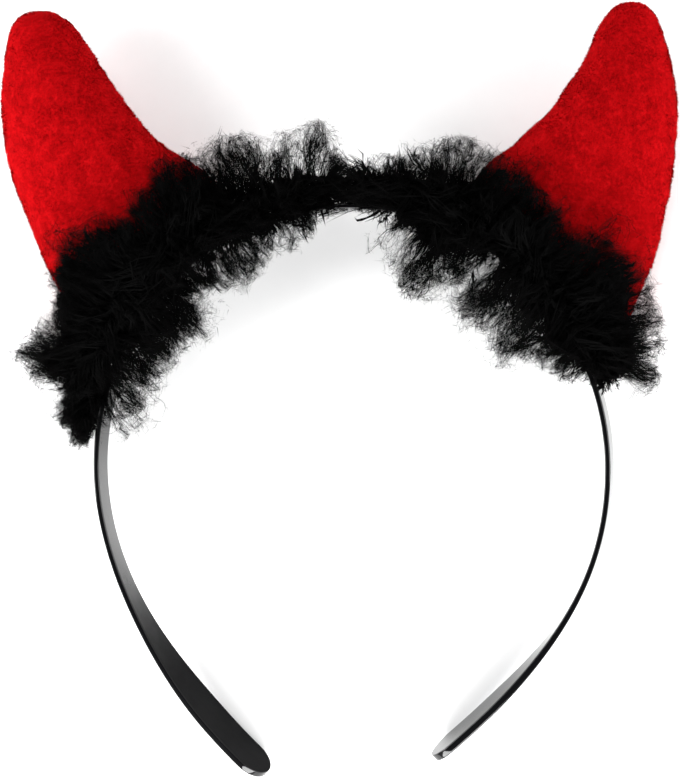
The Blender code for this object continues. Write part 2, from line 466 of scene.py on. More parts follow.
@dataclass(frozen=True)
class DyedMarabou:
    """Turkey marabou, dyed black and steamed: downy barbs with no hooks between them.

    The eye sees a matte black that swallows light inside and thins to smoky grey where single
    barbs stand against the pale ground.
    """

    colour: str = "#040404"
    tip: str = "#080808"
    roughness: float = 0.85
    specular: float = 0.02
    patch_mm: float = 9.0

    def make(self) -> bpy.types.Material:
        """Build the material."""
        material, tree, shader = start_material("dyed_marabou_down")
        place = add_node(tree, "ShaderNodeTexCoord").outputs["Object"]
        patch = add_node(tree, "ShaderNodeTexNoise", feeds={
            "Vector": place, "Scale": 1.0 / (self.patch_mm * MM), "Detail": 4.0})
        ramp = add_node(tree, "ShaderNodeValToRGB", feeds={0: patch})
        ramp.color_ramp.elements[0].position = 0.35
        ramp.color_ramp.elements[0].color = linear(self.colour)
        ramp.color_ramp.elements[1].position = 0.70
        ramp.color_ramp.elements[1].color = linear(self.tip)
        feed_node(tree, shader, {
            "Base Color": ramp, "Roughness": self.roughness, "Specular IOR Level": self.specular})
        return material


@dataclass(frozen=True)
class MattPaper:
    """Uncoated white paper under the headpiece: matte, with a faint fibre mottle."""

    colour: str = "#f6f6f6"
    shade: str = "#f2f2f2"
    roughness: float = 0.9
    specular: float = 0.1
    # Paper fibres are finer than the eye sees here: the mottle is drawn coarser, so that it shows
    fibre_mm: float = 6.0

    def make(self) -> bpy.types.Material:
        """Build the material."""
        material, tree, shader = start_material("uncoated_paper")
        place = add_node(tree, "ShaderNodeTexCoord").outputs["Object"]
        fibre = add_node(tree, "ShaderNodeTexNoise", feeds={
            "Vector": place, "Scale": 1.0 / (self.fibre_mm * MM), "Detail": 4.0})
        ramp = add_node(tree, "ShaderNodeValToRGB", feeds={0: fibre})
        ramp.color_ramp.elements[0].color = linear(self.shade)
        ramp.color_ramp.elements[1].color = linear(self.colour)
        feed_node(tree, shader, {
            "Base Color": ramp, "Roughness": self.roughness, "Specular IOR Level": self.specular})
        return material


@dataclass(frozen=True)
class Leg:
    """One leg of the band: a smooth curve from the end of the half circle to its tip."""

    side: Side
    upper_pull: float
    tip_reach: float
    tip_drop: float
    lower_pull: float
    cant: float = 12.0
    grain: float = 0.0
    tip_slope: float = math.radians(41.0)

    def curve(self, radius: float) -> list[np.ndarray]:
        """Return the four Bezier points from the half circle down to the tip."""
        side = self.side.value
        start = np.array([side * radius, 0.0, 0.0])
        tip = np.array([side * self.tip_reach, -self.tip_drop, 0.0])
        rise = np.array([side * math.cos(self.tip_slope), math.sin(self.tip_slope), 0.0])
        return [start, start - np.array([0.0, self.upper_pull, 0.0]), tip + rise * self.lower_pull, tip]


@dataclass
class HairBand:
    """The moulded strip: a half circle over the head and two legs with wide, rounded ends."""

    pose: RestingPose
    finish: MouldedPolystyrene = field(default_factory=MouldedPolystyrene)
    legs: tuple[Leg, Leg] = (
        Leg(Side.LEFT, upper_pull=34.5, tip_reach=21.8, tip_drop=78.5, lower_pull=22.5, cant=16.0,
            grain=1.0),
        Leg(Side.RIGHT, upper_pull=28.0, tip_reach=21.5, tip_drop=73.0, lower_pull=40.0),
    )
    radius: float = 65.5
    width: float = 9.0
    thickness: float = 1.4
    end_width: float = 12.0
    end_thickness: float = 2.0
    rounding: float = 0.45
    # The stretch of a leg, in shares of its length, over which each of these changes
    cant_run: tuple[float, float] = (0.15, 0.80)
    width_run: tuple[float, float] = (0.35, 0.80)
    thickness_run: tuple[float, float] = (0.20, 0.90)
    grain_run: tuple[float, float] = (0.20, 0.66)
    # The number of stations along each stretch, and of points round a corner of the section
    arc_steps: int = 150
    leg_steps: int = 90
    tip_steps: int = 16
    corner_steps: int = 5

    def leg_stations(self, leg: Leg) -> list[tuple[np.ndarray, float, float, Leg]]:
        """List the stations down one leg, closer together at the tip.

        Args:
            leg: The leg.

        Returns:
            For each station its point, its share of the leg, its distance from the tip and the
            leg itself.
        """
        a, b, c, d = leg.curve(self.radius)
        t = np.linspace(0.0, 1.0, 401)[:, None]
        fine = a * (1 - t) ** 3 + b * 3 * (1 - t) ** 2 * t + c * 3 * (1 - t) * t * t + d * t ** 3
        lengths = np.concatenate([[0.0], np.cumsum(np.linalg.norm(np.diff(fine, axis=0), axis=1))])
        total = lengths[-1]
        round_end = self.end_width / 2.0
        reaches = list(np.linspace(0.0, total - round_end, self.leg_steps))[1:]
        # The last station stays just short of the tip, so that the cap there has a width
        turns = np.linspace(0.0, 0.485 * math.pi, self.tip_steps + 1)[1:]
        reaches += list(total - round_end + round_end * np.sin(turns))
        points = np.stack([np.interp(reaches, lengths, fine[:, k]) for k in range(3)], axis=1)
        return [(p, r / total, total - r, leg) for p, r in zip(points, reaches)]

    def rail(self) -> bpy.types.Object:
        """Lay out the middle line, with the strip's width, thickness and turn along it."""
        left, right = (self.leg_stations(leg) for leg in self.legs)
        angles = np.linspace(math.pi, 0.0, self.arc_steps + 1)
        arc = [(np.array([math.cos(a), math.sin(a), 0.0]) * self.radius, 0.0, self.radius, self.legs[0])
               for a in angles]
        stations = left[::-1] + arc + right
        middles = np.array([s[0] for s in stations])
        along = np.gradient(middles, axis=0)
        along /= np.linalg.norm(along, axis=1)[:, None]
        front = np.array([0.0, 0.0, 1.0])
        faces, edges, thick, wide, pads = [], [], [], [], []
        for (_, share, from_tip, leg), way in zip(stations, along):
            outward = np.array([-way[1], way[0], 0.0])
            cant = math.radians(leg.cant) * ease(*self.cant_run, share)
            faces.append(outward * math.cos(cant) - front * math.sin(cant))
            edges.append(outward * math.sin(cant) + front * math.cos(cant))
            width = self.width + (self.end_width - self.width) * ease(*self.width_run, share)
            round_end = self.end_width / 2.0
            if from_tip < round_end:
                width *= math.sqrt(1.0 - (1.0 - from_tip / round_end) ** 2)
            wide.append(width / 2.0 * MM)
            grown = (self.end_thickness - self.thickness) * ease(*self.thickness_run, share)
            thick.append((self.thickness + grown) / 2.0 * MM)
            pads.append(leg.grain * ease(*self.grain_run, share))
        turn = self.pose.turn().T
        points = self.pose.place(middles)
        links = [(i, i + 1) for i in range(len(points) - 1)]
        return new_piece("hair_band", points, edges=links, middle=points,
                         face=np.array(faces) @ turn, edge=np.array(edges) @ turn,
                         half_thick=np.array(thick), half_wide=np.array(wide), leg_pad=np.array(pads))

    def profile(self) -> bpy.types.Object:
        """Lay out the strip's section: which corner each point belongs to and its turn there."""
        corners, arcs = [], []
        for sx, sy, start in ((1, 1, 0.0), (-1, 1, 90.0), (-1, -1, 180.0), (1, -1, 270.0)):
            for turn in np.radians(start + np.linspace(0.0, 90.0, self.corner_steps)):
                corners.append((sx, sy, 0.0))
                arcs.append((math.cos(turn), math.sin(turn), 0.0))
            if sx != sy:
                # Three more points down each wide face keep its shading flat
                for height in (0.93, 0.0, -0.93):
                    corners.append((sx, sy * height, 0.0))
                    arcs.append((sx, 0.0, 0.0))
        corners, arcs = np.array(corners), np.array(arcs)
        count = len(corners)
        links = [(i, (i + 1) % count) for i in range(count)]
        # These places only tell the points apart: the tree moves each one to its true place
        return new_piece("strip_profile", (corners + 0.2 * arcs) * MM, edges=links,
                         corner=corners, arc=arcs)

    def strip_tree(self) -> bpy.types.NodeTree:
        """Build the tree that sweeps the rounded section along the rail."""
        tree, inputs = start_tree("moulded_strip", {
            "Profile": "NodeSocketObject", "Rounding": "NodeSocketFloat",
            "Material": "NodeSocketMaterial"})
        rail = add_node(tree, "GeometryNodeMeshToCurve", feeds={0: inputs.outputs["Geometry"]})
        shape = add_node(tree, "GeometryNodeObjectInfo", feeds={0: inputs.outputs["Profile"]})
        outline = add_node(tree, "GeometryNodeMeshToCurve", feeds={0: shape.outputs["Geometry"]})
        swept = add_node(tree, "GeometryNodeCurveToMesh", feeds={
            "Curve": rail, "Profile Curve": outline, "Fill Caps": True})
        reading = {}
        for name in ("middle", "face", "edge", "corner", "arc"):
            reading[name] = add_node(tree, "GeometryNodeInputNamedAttribute",
                                     {"data_type": "FLOAT_VECTOR"}, {"Name": name})
        corner = add_node(tree, "ShaderNodeSeparateXYZ", feeds={0: reading["corner"]})
        arc = add_node(tree, "ShaderNodeSeparateXYZ", feeds={0: reading["arc"]})
        place = reading["middle"]
        for axis, half, direction in ((0, "half_thick", "face"), (1, "half_wide", "edge")):
            size = add_node(tree, "GeometryNodeInputNamedAttribute", feeds={"Name": half})
            flat = add_node(tree, "ShaderNodeMath", {"operation": "SUBTRACT"},
                            {0: size, 1: inputs.outputs["Rounding"]})
            bend = add_node(tree, "ShaderNodeMath", {"operation": "MULTIPLY"},
                            {0: arc.outputs[axis], 1: inputs.outputs["Rounding"]})
            reach = add_node(tree, "ShaderNodeMath", {"operation": "MULTIPLY_ADD"},
                             {0: corner.outputs[axis], 1: flat, 2: bend})
            step = add_node(tree, "ShaderNodeVectorMath", {"operation": "SCALE"},
                            {0: reading[direction], "Scale": reach})
            place = add_node(tree, "ShaderNodeVectorMath", {"operation": "ADD"}, {0: place, 1: step})
        moved = add_node(tree, "GeometryNodeSetPosition", feeds={"Geometry": swept, "Position": place})
        smooth = add_node(tree, "GeometryNodeSetShadeSmooth", feeds={"Geometry": moved})
        along = add_node(tree, "GeometryNodeInputNamedAttribute", feeds={"Name": "leg_pad"})
        inner = add_node(tree, "ShaderNodeMath", {"operation": "MULTIPLY"}, {0: arc.outputs[0], 1: -1.0})
        inner = add_node(tree, "ShaderNodeMath", {"operation": "MAXIMUM"}, {0: inner, 1: 0.0})
        pad = add_node(tree, "ShaderNodeMath", {"operation": "MULTIPLY"}, {0: along, 1: inner})
        marked = add_node(tree, "GeometryNodeStoreNamedAttribute", {"data_type": "FLOAT"}, {
            "Geometry": smooth, "Name": "pad", "Value": pad})
        end_tree(tree, marked, inputs)
        return tree

    def build(self) -> bpy.types.Object:
        """Build the band and let it stand for its CAD node."""
        profile = self.profile()
        band = run_tree(self.rail(), self.strip_tree(), {
            "Profile": profile, "Rounding": self.rounding * MM, "Material": self.finish.make()})
        bpy.data.objects.remove(profile)
        face_outwards(band.data)
        join_root(band, "headband")
        return band


@dataclass(frozen=True)
class Strand:
    """One strand to repeat: a thin ribbon of length 1 along z that thins to a point.

    Its width and its short fibres are in mm, its sway and its hook in degrees.
    """

    name: str
    width: float
    steps: int
    # How far it leans to either side, how many times, and where in a turn it starts
    sway: float = 0.0
    turns: float = 1.0
    phase: float = 0.0
    # How far its end curls over
    hook: float = 0.0
    # The short fibres that stand off it all round, and how long they are
    barbules: int = 0
    down: float = 0.0
    # The length that the strand usually gets, which sizes those fibres
    usual: float = 15.0

    def line(self) -> tuple[np.ndarray, np.ndarray, np.ndarray]:
        """Return the shares of the length at its points, and how far out and up each one lies."""
        shares = np.linspace(0.0, 1.0, self.steps + 1)
        swing = np.sin(2.0 * math.pi * (self.turns * shares + self.phase)) * np.minimum(1.0, 3.0 * shares)
        lean = math.radians(self.sway) * swing
        lean += math.radians(self.hook) * np.clip((shares - 0.5) / 0.5, 0.0, 1.0) ** 2
        out = np.concatenate([[0.0], np.cumsum(np.sin(lean[1:]))]) / self.steps
        up = np.concatenate([[0.0], np.cumsum(np.cos(lean[1:]))]) / self.steps
        return shares, out / up.max(), up / up.max()

    def fibre(self, number: int, share: float, y: float, z: float) -> list[tuple[float, float, float]]:
        """Lay out one short fibre: a narrow triangle that stands off the strand.

        Args:
            number: Its number along the strand, which turns it about two fifths of a circle on.
            share: The share of the strand's length at its foot.
            y: How far out its foot lies.
            z: How far up its foot lies.

        Returns:
            Its three points.
        """
        turn = 2.4 * number + self.phase
        reach = self.down * (1.0 - 0.35 * share) * (0.8 + 0.3 * math.cos(5.1 * number))
        tip = (0.8 * reach * math.cos(turn) * MM, y + 0.8 * reach * math.sin(turn) / self.usual,
               z + 0.6 * reach / self.usual)
        return [(0.0, y, z), (0.0, y, z + 0.6 * self.width / self.usual), tip]

    def build(self) -> bpy.types.Object:
        """Build the strand, with the share of its length stored on its points."""
        shares, out, up = self.line()
        points, stored = [], []
        for share, y, z in zip(shares[:-1], out, up):
            half = self.width * (1.0 - 0.5 * share) / 2.0 * MM
            points += [(-half, y, z), (half, y, z)]
            stored += [share, share]
        points.append((0.0, out[-1], up[-1]))
        stored.append(1.0)
        tip = 2 * self.steps
        faces = [(k, k + 2, k + 3, k + 1) for k in range(0, tip - 2, 2)] + [(tip - 2, tip, tip - 1)]
        for number in range(self.barbules):
            share = 0.15 + 0.85 * (number + 0.5) / self.barbules
            count = len(points)
            points += self.fibre(number, share, np.interp(share, shares, out), np.interp(share, shares, up))
            stored += [share, share, min(1.0, share + 0.1)]
            faces.append((count, count + 1, count + 2))
        return new_piece(self.name, np.array(points), faces=faces, share=np.array(stored))


@dataclass
class PlushHorn:
    """A stuffed velour horn: two panels sewn along both edges, filled, with a short pile."""

    side: Side
    pose: RestingPose
    finish: VelourPlush = field(default_factory=VelourPlush)
    # The band's outer face, and how far the skin stays off it and off the table
    band_face: float = 66.1
    clearance: float = 0.35
    off_table: float = 0.12
    # The panels before they are filled: how far in they start, and the size of their facets
    start_inset: float = 0.8
    voxel: float = 4.0
    # The filling: its pressure, how long it swells, how far it may move a point, and how far off
    # the CAD solid the skin may end
    pressure: float = 9.0
    frames: int = 20
    most_swell: float = 2.2
    most_off: float = 0.35
    # The tip and the outer side are drawn a little fuller, growing from this place over this run
    tip_stretch: float = 0.6
    tip_from: float = 55.0
    tip_run: float = 55.0
    side_stretch: float = 1.0
    side_from: float = 66.0
    side_run: float = 14.0
    # The dents of the filling, the seam round the outline and the puckers along it
    dent_mm: float = 17.0
    dent_depth: float = 0.5
    seam_depth: float = 0.45
    seam_reach: float = 1.1
    pucker_mm: float = 4.6
    pucker_depth: float = 0.10
    # A real fibre is about 0.04 mm wide and there are far more: drawn coarser, so that it shows
    pile_length: float = 0.60
    pile_width: float = 0.24
    pile_per_mm2: float = 7.5
    # The shares of that length that fibres have, the way they are stroked, and how far the nap is
    # ruffled in patches of this size and strays from fibre to fibre
    pile_shares: tuple[float, float] = (0.55, 1.15)
    nap: tuple[float, float] = (0.10, -0.55)
    ruffle: float = 1.2
    ruffle_mm: float = 5.0
    stray: float = 0.35
    # No pile stands nearer to the band's centre than this, nor on the back below this height
    bare_foot: float = 77.0
    bare_back: float = -10.5
    # The foot is painted near black as shade up to this distance from the band's centre, fading out over this
    # run
    shade_reach: float = 78.5
    shade_run: float = 3.0
    seed: int = 11

    def name(self) -> str:
        """Return the name of the CAD node."""
        return f"horn_{self.side.name.lower()}"

    def shell(self) -> bpy.types.Object:
        """Copy the CAD solid, merge it, draw it in a little and give it even facets."""
        skin = put(f"{self.name()}_skin", bpy.data.objects[self.name()].data.copy())
        skin.data.materials.clear()
        face_outwards(skin.data)
        modify(skin, "REMESH", mode="VOXEL", voxel_size=self.voxel * MM)
        points = points_of(skin.data) - points_of(skin.data, "normal") * self.start_inset * MM
        set_points(skin.data, points)
        return skin

    def stuff(self, skin: bpy.types.Object) -> None:
        """Fill the skin by cloth pressure, and cap how far a point may move.

        Args:
            skin: The skin with even facets.
        """
        before = points_of(skin.data)
        cloth = skin.modifiers.new("stuffing", "CLOTH")
        cloth.settings.use_pressure = True
        cloth.settings.uniform_pressure_force = self.pressure
        cloth.settings.effector_weights.gravity = 0.0
        cloth.settings.quality = 6
        cloth.point_cache.frame_start = 1
        cloth.point_cache.frame_end = self.frames
        for frame in range(1, self.frames + 1):
            bpy.context.scene.frame_set(frame)
        bake(skin)
        bpy.context.scene.frame_set(1)
        moved = points_of(skin.data) - before
        far = np.linalg.norm(moved, axis=1)
        log.info("%s: cloth moved its points by up to %.1f mm", skin.name, far.max() / MM)
        capped = np.minimum(far, self.most_swell * MM) / np.maximum(far, 1e-9)
        set_points(skin.data, before + moved * capped[:, None])

    def sew(self, skin: bpy.types.Object) -> None:
        """Add the dents of the filling and the puckered seam round the horn's outline.

        Args:
            skin: The filled skin.
        """
        modify(skin, "SUBSURF", levels=2, render_levels=2)
        mesh = skin.data
        self.hold_to_cad(mesh)
        flat = self.pose.unplace(points_of(mesh))
        flat[:, 1] += self.tip_stretch * np.clip((flat[:, 1] - self.tip_from) / self.tip_run, 0.0, 1.0) ** 2
        side = self.side.value
        beside = np.clip((side * flat[:, 0] - self.side_from) / self.side_run, 0.0, 1.0)
        flat[:, 0] += side * self.side_stretch * beside
        set_points(mesh, self.pose.place(flat))
        # The dents repeat at uneven lengths, and start elsewhere on each horn
        phase = 1.7 if self.side is Side.LEFT else 4.1
        wave = np.sin(flat[:, 0] / self.dent_mm * 2.3 + phase)
        wave = wave * np.sin(flat[:, 1] / self.dent_mm * 2.9 - phase)
        wave += 0.5 * np.sin((flat[:, 0] + flat[:, 1]) / self.dent_mm * 5.3 + 2.0 * phase)
        nearness = np.exp(-(flat[:, 2] / self.seam_reach) ** 2)
        wide = np.exp(-(flat[:, 2] / (4.0 * self.seam_reach)) ** 2)
        pull = np.sin((flat[:, 0] * 0.6 - flat[:, 1]) / self.pucker_mm * 2.0 * math.pi)
        sink = self.dent_depth * 0.5 * wave + self.seam_depth * nearness + self.pucker_depth * pull * wide
        set_points(mesh, points_of(mesh) - points_of(mesh, "normal") * (sink * MM)[:, None])
        self.clear_neighbours(mesh)
        flat = self.pose.unplace(points_of(mesh))
        reach = np.hypot(flat[:, 0], flat[:, 1])
        # Painted shade: the foot inside the trim is marked to be painted near black
        foot = np.clip((self.shade_reach - reach) / self.shade_run, 0.0, 1.0)
        mesh.attributes.new("foot", "FLOAT", "POINT").data.foreach_set("value", foot)
        mesh.shade_smooth()

    def hold_to_cad(self, mesh: bpy.types.Mesh) -> None:
        """Keep every point of the skin close to the CAD solid that it stands for."""
        source = bpy.data.objects[self.name()].data
        surface = BVHTree.FromPolygons([v.co for v in source.vertices], [p.vertices for p in source.polygons])
        points = points_of(mesh)
        for i, point in enumerate(points):
            nearest = surface.find_nearest(point)[0]
            off = Vector(point) - nearest
            if off.length > self.most_off * MM:
                points[i] = nearest + off.normalized() * self.most_off * MM
        set_points(mesh, points)

    def clear_neighbours(self, mesh: bpy.types.Mesh) -> None:
        """Keep the skin off the band inside it and off the table under it."""
        flat = self.pose.unplace(points_of(mesh))
        reach = np.hypot(flat[:, 0], flat[:, 1])
        least = self.band_face + self.clearance
        flat[:, :2] *= np.maximum(1.0, least / np.maximum(reach, 1.0))[:, None]
        points = self.pose.place(flat)
        points[:, 2] = np.maximum(points[:, 2], self.off_table * MM)
        set_points(mesh, points)

    def pile_tree(self) -> bpy.types.NodeTree:
        """Build the tree that stands the pile on the skin, stroked one way and ruffled."""
        tree, inputs = start_tree("velour_pile", {
            "Fibre": "NodeSocketObject", "Density": "NodeSocketFloat", "Length": "NodeSocketFloat",
            "Nap": "NodeSocketVector", "Ruffle size": "NodeSocketFloat", "Seed": "NodeSocketInt",
            "Material": "NodeSocketMaterial"})
        take = inputs.outputs
        shown = add_node(tree, "GeometryNodeInputNamedAttribute", feeds={"Name": "shown"})
        density = add_node(tree, "ShaderNodeMath", {"operation": "MULTIPLY"}, {0: shown, 1: take["Density"]})
        roots = add_node(tree, "GeometryNodeDistributePointsOnFaces", feeds={
            "Mesh": take["Geometry"], "Density": density, "Seed": take["Seed"]})
        kept = add_node(tree, "GeometryNodeStoreNamedAttribute", {"data_type": "FLOAT_VECTOR"}, {
            "Geometry": roots, "Name": "skin_normal", "Value": roots.outputs["Normal"]})
        fibre = add_node(tree, "GeometryNodeObjectInfo", feeds={0: take["Fibre"]})
        scale = add_node(tree, "ShaderNodeMath", {"operation": "DIVIDE"}, {0: 1.0, 1: take["Ruffle size"]})
        here = add_node(tree, "GeometryNodeInputPosition")
        noise = add_node(tree, "ShaderNodeTexNoise", feeds={"Vector": here, "Scale": scale, "Detail": 2.0})
        ruffle = add_node(tree, "ShaderNodeVectorMath", {"operation": "MULTIPLY_ADD"}, {
            0: noise.outputs["Color"], 1: (2.0 * self.ruffle,) * 3, 2: (-self.ruffle,) * 3})
        stray = add_node(tree, "FunctionNodeRandomValue", {"data_type": "FLOAT_VECTOR"}, {
            0: (-self.stray,) * 3, 1: (self.stray,) * 3, "Seed": take["Seed"]})
        normal = add_node(tree, "GeometryNodeInputNamedAttribute", {"data_type": "FLOAT_VECTOR"}, {
            "Name": "skin_normal"})
        lie = add_node(tree, "ShaderNodeVectorMath", {"operation": "ADD"}, {0: normal, 1: take["Nap"]})
        lie = add_node(tree, "ShaderNodeVectorMath", {"operation": "ADD"}, {0: lie, 1: ruffle})
        lie = add_node(tree, "ShaderNodeVectorMath", {"operation": "ADD"}, {0: lie, 1: stray.outputs[0]})
        aim = add_node(tree, "FunctionNodeAlignRotationToVector", {"axis": "Z"}, {"Vector": lie})
        facing = add_node(tree, "FunctionNodeAlignRotationToVector", {"axis": "Y", "pivot_axis": "Z"}, {
            "Rotation": aim, "Vector": normal})
        share = add_node(tree, "FunctionNodeRandomValue", {"data_type": "FLOAT"}, {
            2: self.pile_shares[0], 3: self.pile_shares[1], "Seed": 6})
        length = add_node(tree, "ShaderNodeMath", {"operation": "MULTIPLY"}, {
            0: share.outputs[1], 1: take["Length"]})
        size = add_node(tree, "ShaderNodeCombineXYZ", feeds={0: 1.0, 1: length, 2: length})
        pile = add_node(tree, "GeometryNodeInstanceOnPoints", feeds={
            "Points": kept, "Instance": fibre.outputs["Geometry"], "Rotation": facing, "Scale": size})
        end_tree(tree, pile, inputs)
        return tree

    def grow_pile(self, skin: bpy.types.Object) -> bpy.types.Object:
        """Stand the pile on the skin, but for its foot inside the trim.

        Args:
            skin: The finished skin.

        Returns:
            The pile, which shades as the skin under it does.
        """
        pile = put(f"{self.name()}_pile", skin.data.copy())
        flat = self.pose.unplace(points_of(pile.data))
        shown = pile.data.attributes.new("shown", "FLOAT", "POINT")
        bare = (np.hypot(flat[:, 0], flat[:, 1]) < self.bare_foot) | (flat[:, 2] < self.bare_back)
        shown.data.foreach_set("value", np.where(bare, 0.0, 1.0))
        fibre = Strand("pile_fibre", self.pile_width, 1).build()
        nap = Vector((self.nap[0] * self.side.value, self.nap[1], 0.0))
        run_tree(pile, self.pile_tree(), {
            "Fibre": fibre, "Density": self.pile_per_mm2 / MM ** 2, "Length": self.pile_length * MM,
            "Nap": nap, "Ruffle size": self.ruffle_mm * MM, "Seed": self.seed + self.side.value,
            "Material": self.finish.make(f"velour_pile_{self.side.name.lower()}")})
        bpy.data.objects.remove(fibre)
        mesh = pile.data
        normals = np.zeros(len(mesh.vertices) * 3, np.float32)
        mesh.attributes["skin_normal"].data.foreach_get("vector", normals)
        mesh.shade_smooth()
        mesh.normals_split_custom_set_from_vertices(normals.reshape(-1, 3))
        return pile

    def build(self) -> bpy.types.Object:
        """Build the horn's stuffed skin and its pile.

        Returns:
            The skin, which the trim stays clear of.
        """
        skin = self.shell()
        self.stuff(skin)
        self.sew(skin)
        skin.data.materials.append(self.finish.make(f"knitted_velour_{self.side.name.lower()}"))
        pile = self.grow_pile(skin)
        join_root(skin, self.name())
        join_root(pile, self.name())
        return skin


@dataclass(frozen=True)
class Plumes:
    """Plumes of down: where they start and end, how far they fan out, and their barbs.

    Free ones may stray past the trim's outline.
    """

    roots: np.ndarray
    tips: np.ndarray
    fans: np.ndarray
    counts: np.ndarray
    free: bool = False

    def parted(self, draw: np.random.Generator, tufts: int, strands: int) -> dict[str, np.ndarray]:
        """Part each plume in tufts, each tuft in strands that cling together, and these in barbs.

        Args:
            draw: The source of the small differences between barbs.
            tufts: The number of tufts of a plume.
            strands: The number of strands of a tuft.

        Returns:
            Where each barb starts and the way to its end, in mm, its turn and its kind.
        """
        # Which plume, tuft and strand each barb belongs to
        plume = np.repeat(np.arange(len(self.roots)), self.counts)
        axis = (self.tips - self.roots)[plume]
        length = np.linalg.norm(axis, axis=1)[:, None]
        number = len(plume)
        tuft = plume * tufts + draw.integers(0, tufts, number)
        clung = tuft * strands + draw.integers(0, strands, number)
        total = len(self.roots) * tufts
        every = total * strands
        # Each tuft has its own length, its own lean to the side, and a blunt or a pointed end
        share = draw.uniform(0.82, 1.04, (total, 1))[tuft]
        aside = draw.uniform(-1.0, 1.0, (total, 3))[tuft]
        blunt = draw.uniform(0.0, 1.0, (total, 1))[tuft]
        end = axis * share + aside * length * self.fans[plume][:, None]
        # The barbs of a strand leave the shaft together and stray together, each a little apart
        foot = draw.uniform(0.0, 0.8, (every, 1))[clung] ** 1.5
        from_side, to_side = draw.uniform(-1.0, 1.0, (2, every, 3))[:, clung]
        own_foot, own_end = draw.uniform(-1.0, 1.0, (2, number, 3))
        cling = 0.4 if self.free else 1.0
        spread = length * (0.10 - 0.06 * blunt) * cling
        start = end * foot + (0.8 * from_side + 0.2 * own_foot) * spread
        spread = length * (0.05 + 0.17 * blunt) * cling
        stop = end * draw.uniform(0.90, 1.0, (number, 1)) + (0.8 * to_side + 0.2 * own_end) * spread
        turn = draw.uniform(0.0, 2.0 * math.pi, every)[clung] + draw.normal(0.0, 0.4, number)
        kind = draw.integers(0, 3, every)[clung].astype(np.int32)
        return {"start": self.roots[plume] + start, "way": stop - start, "turn": turn, "kind": kind}


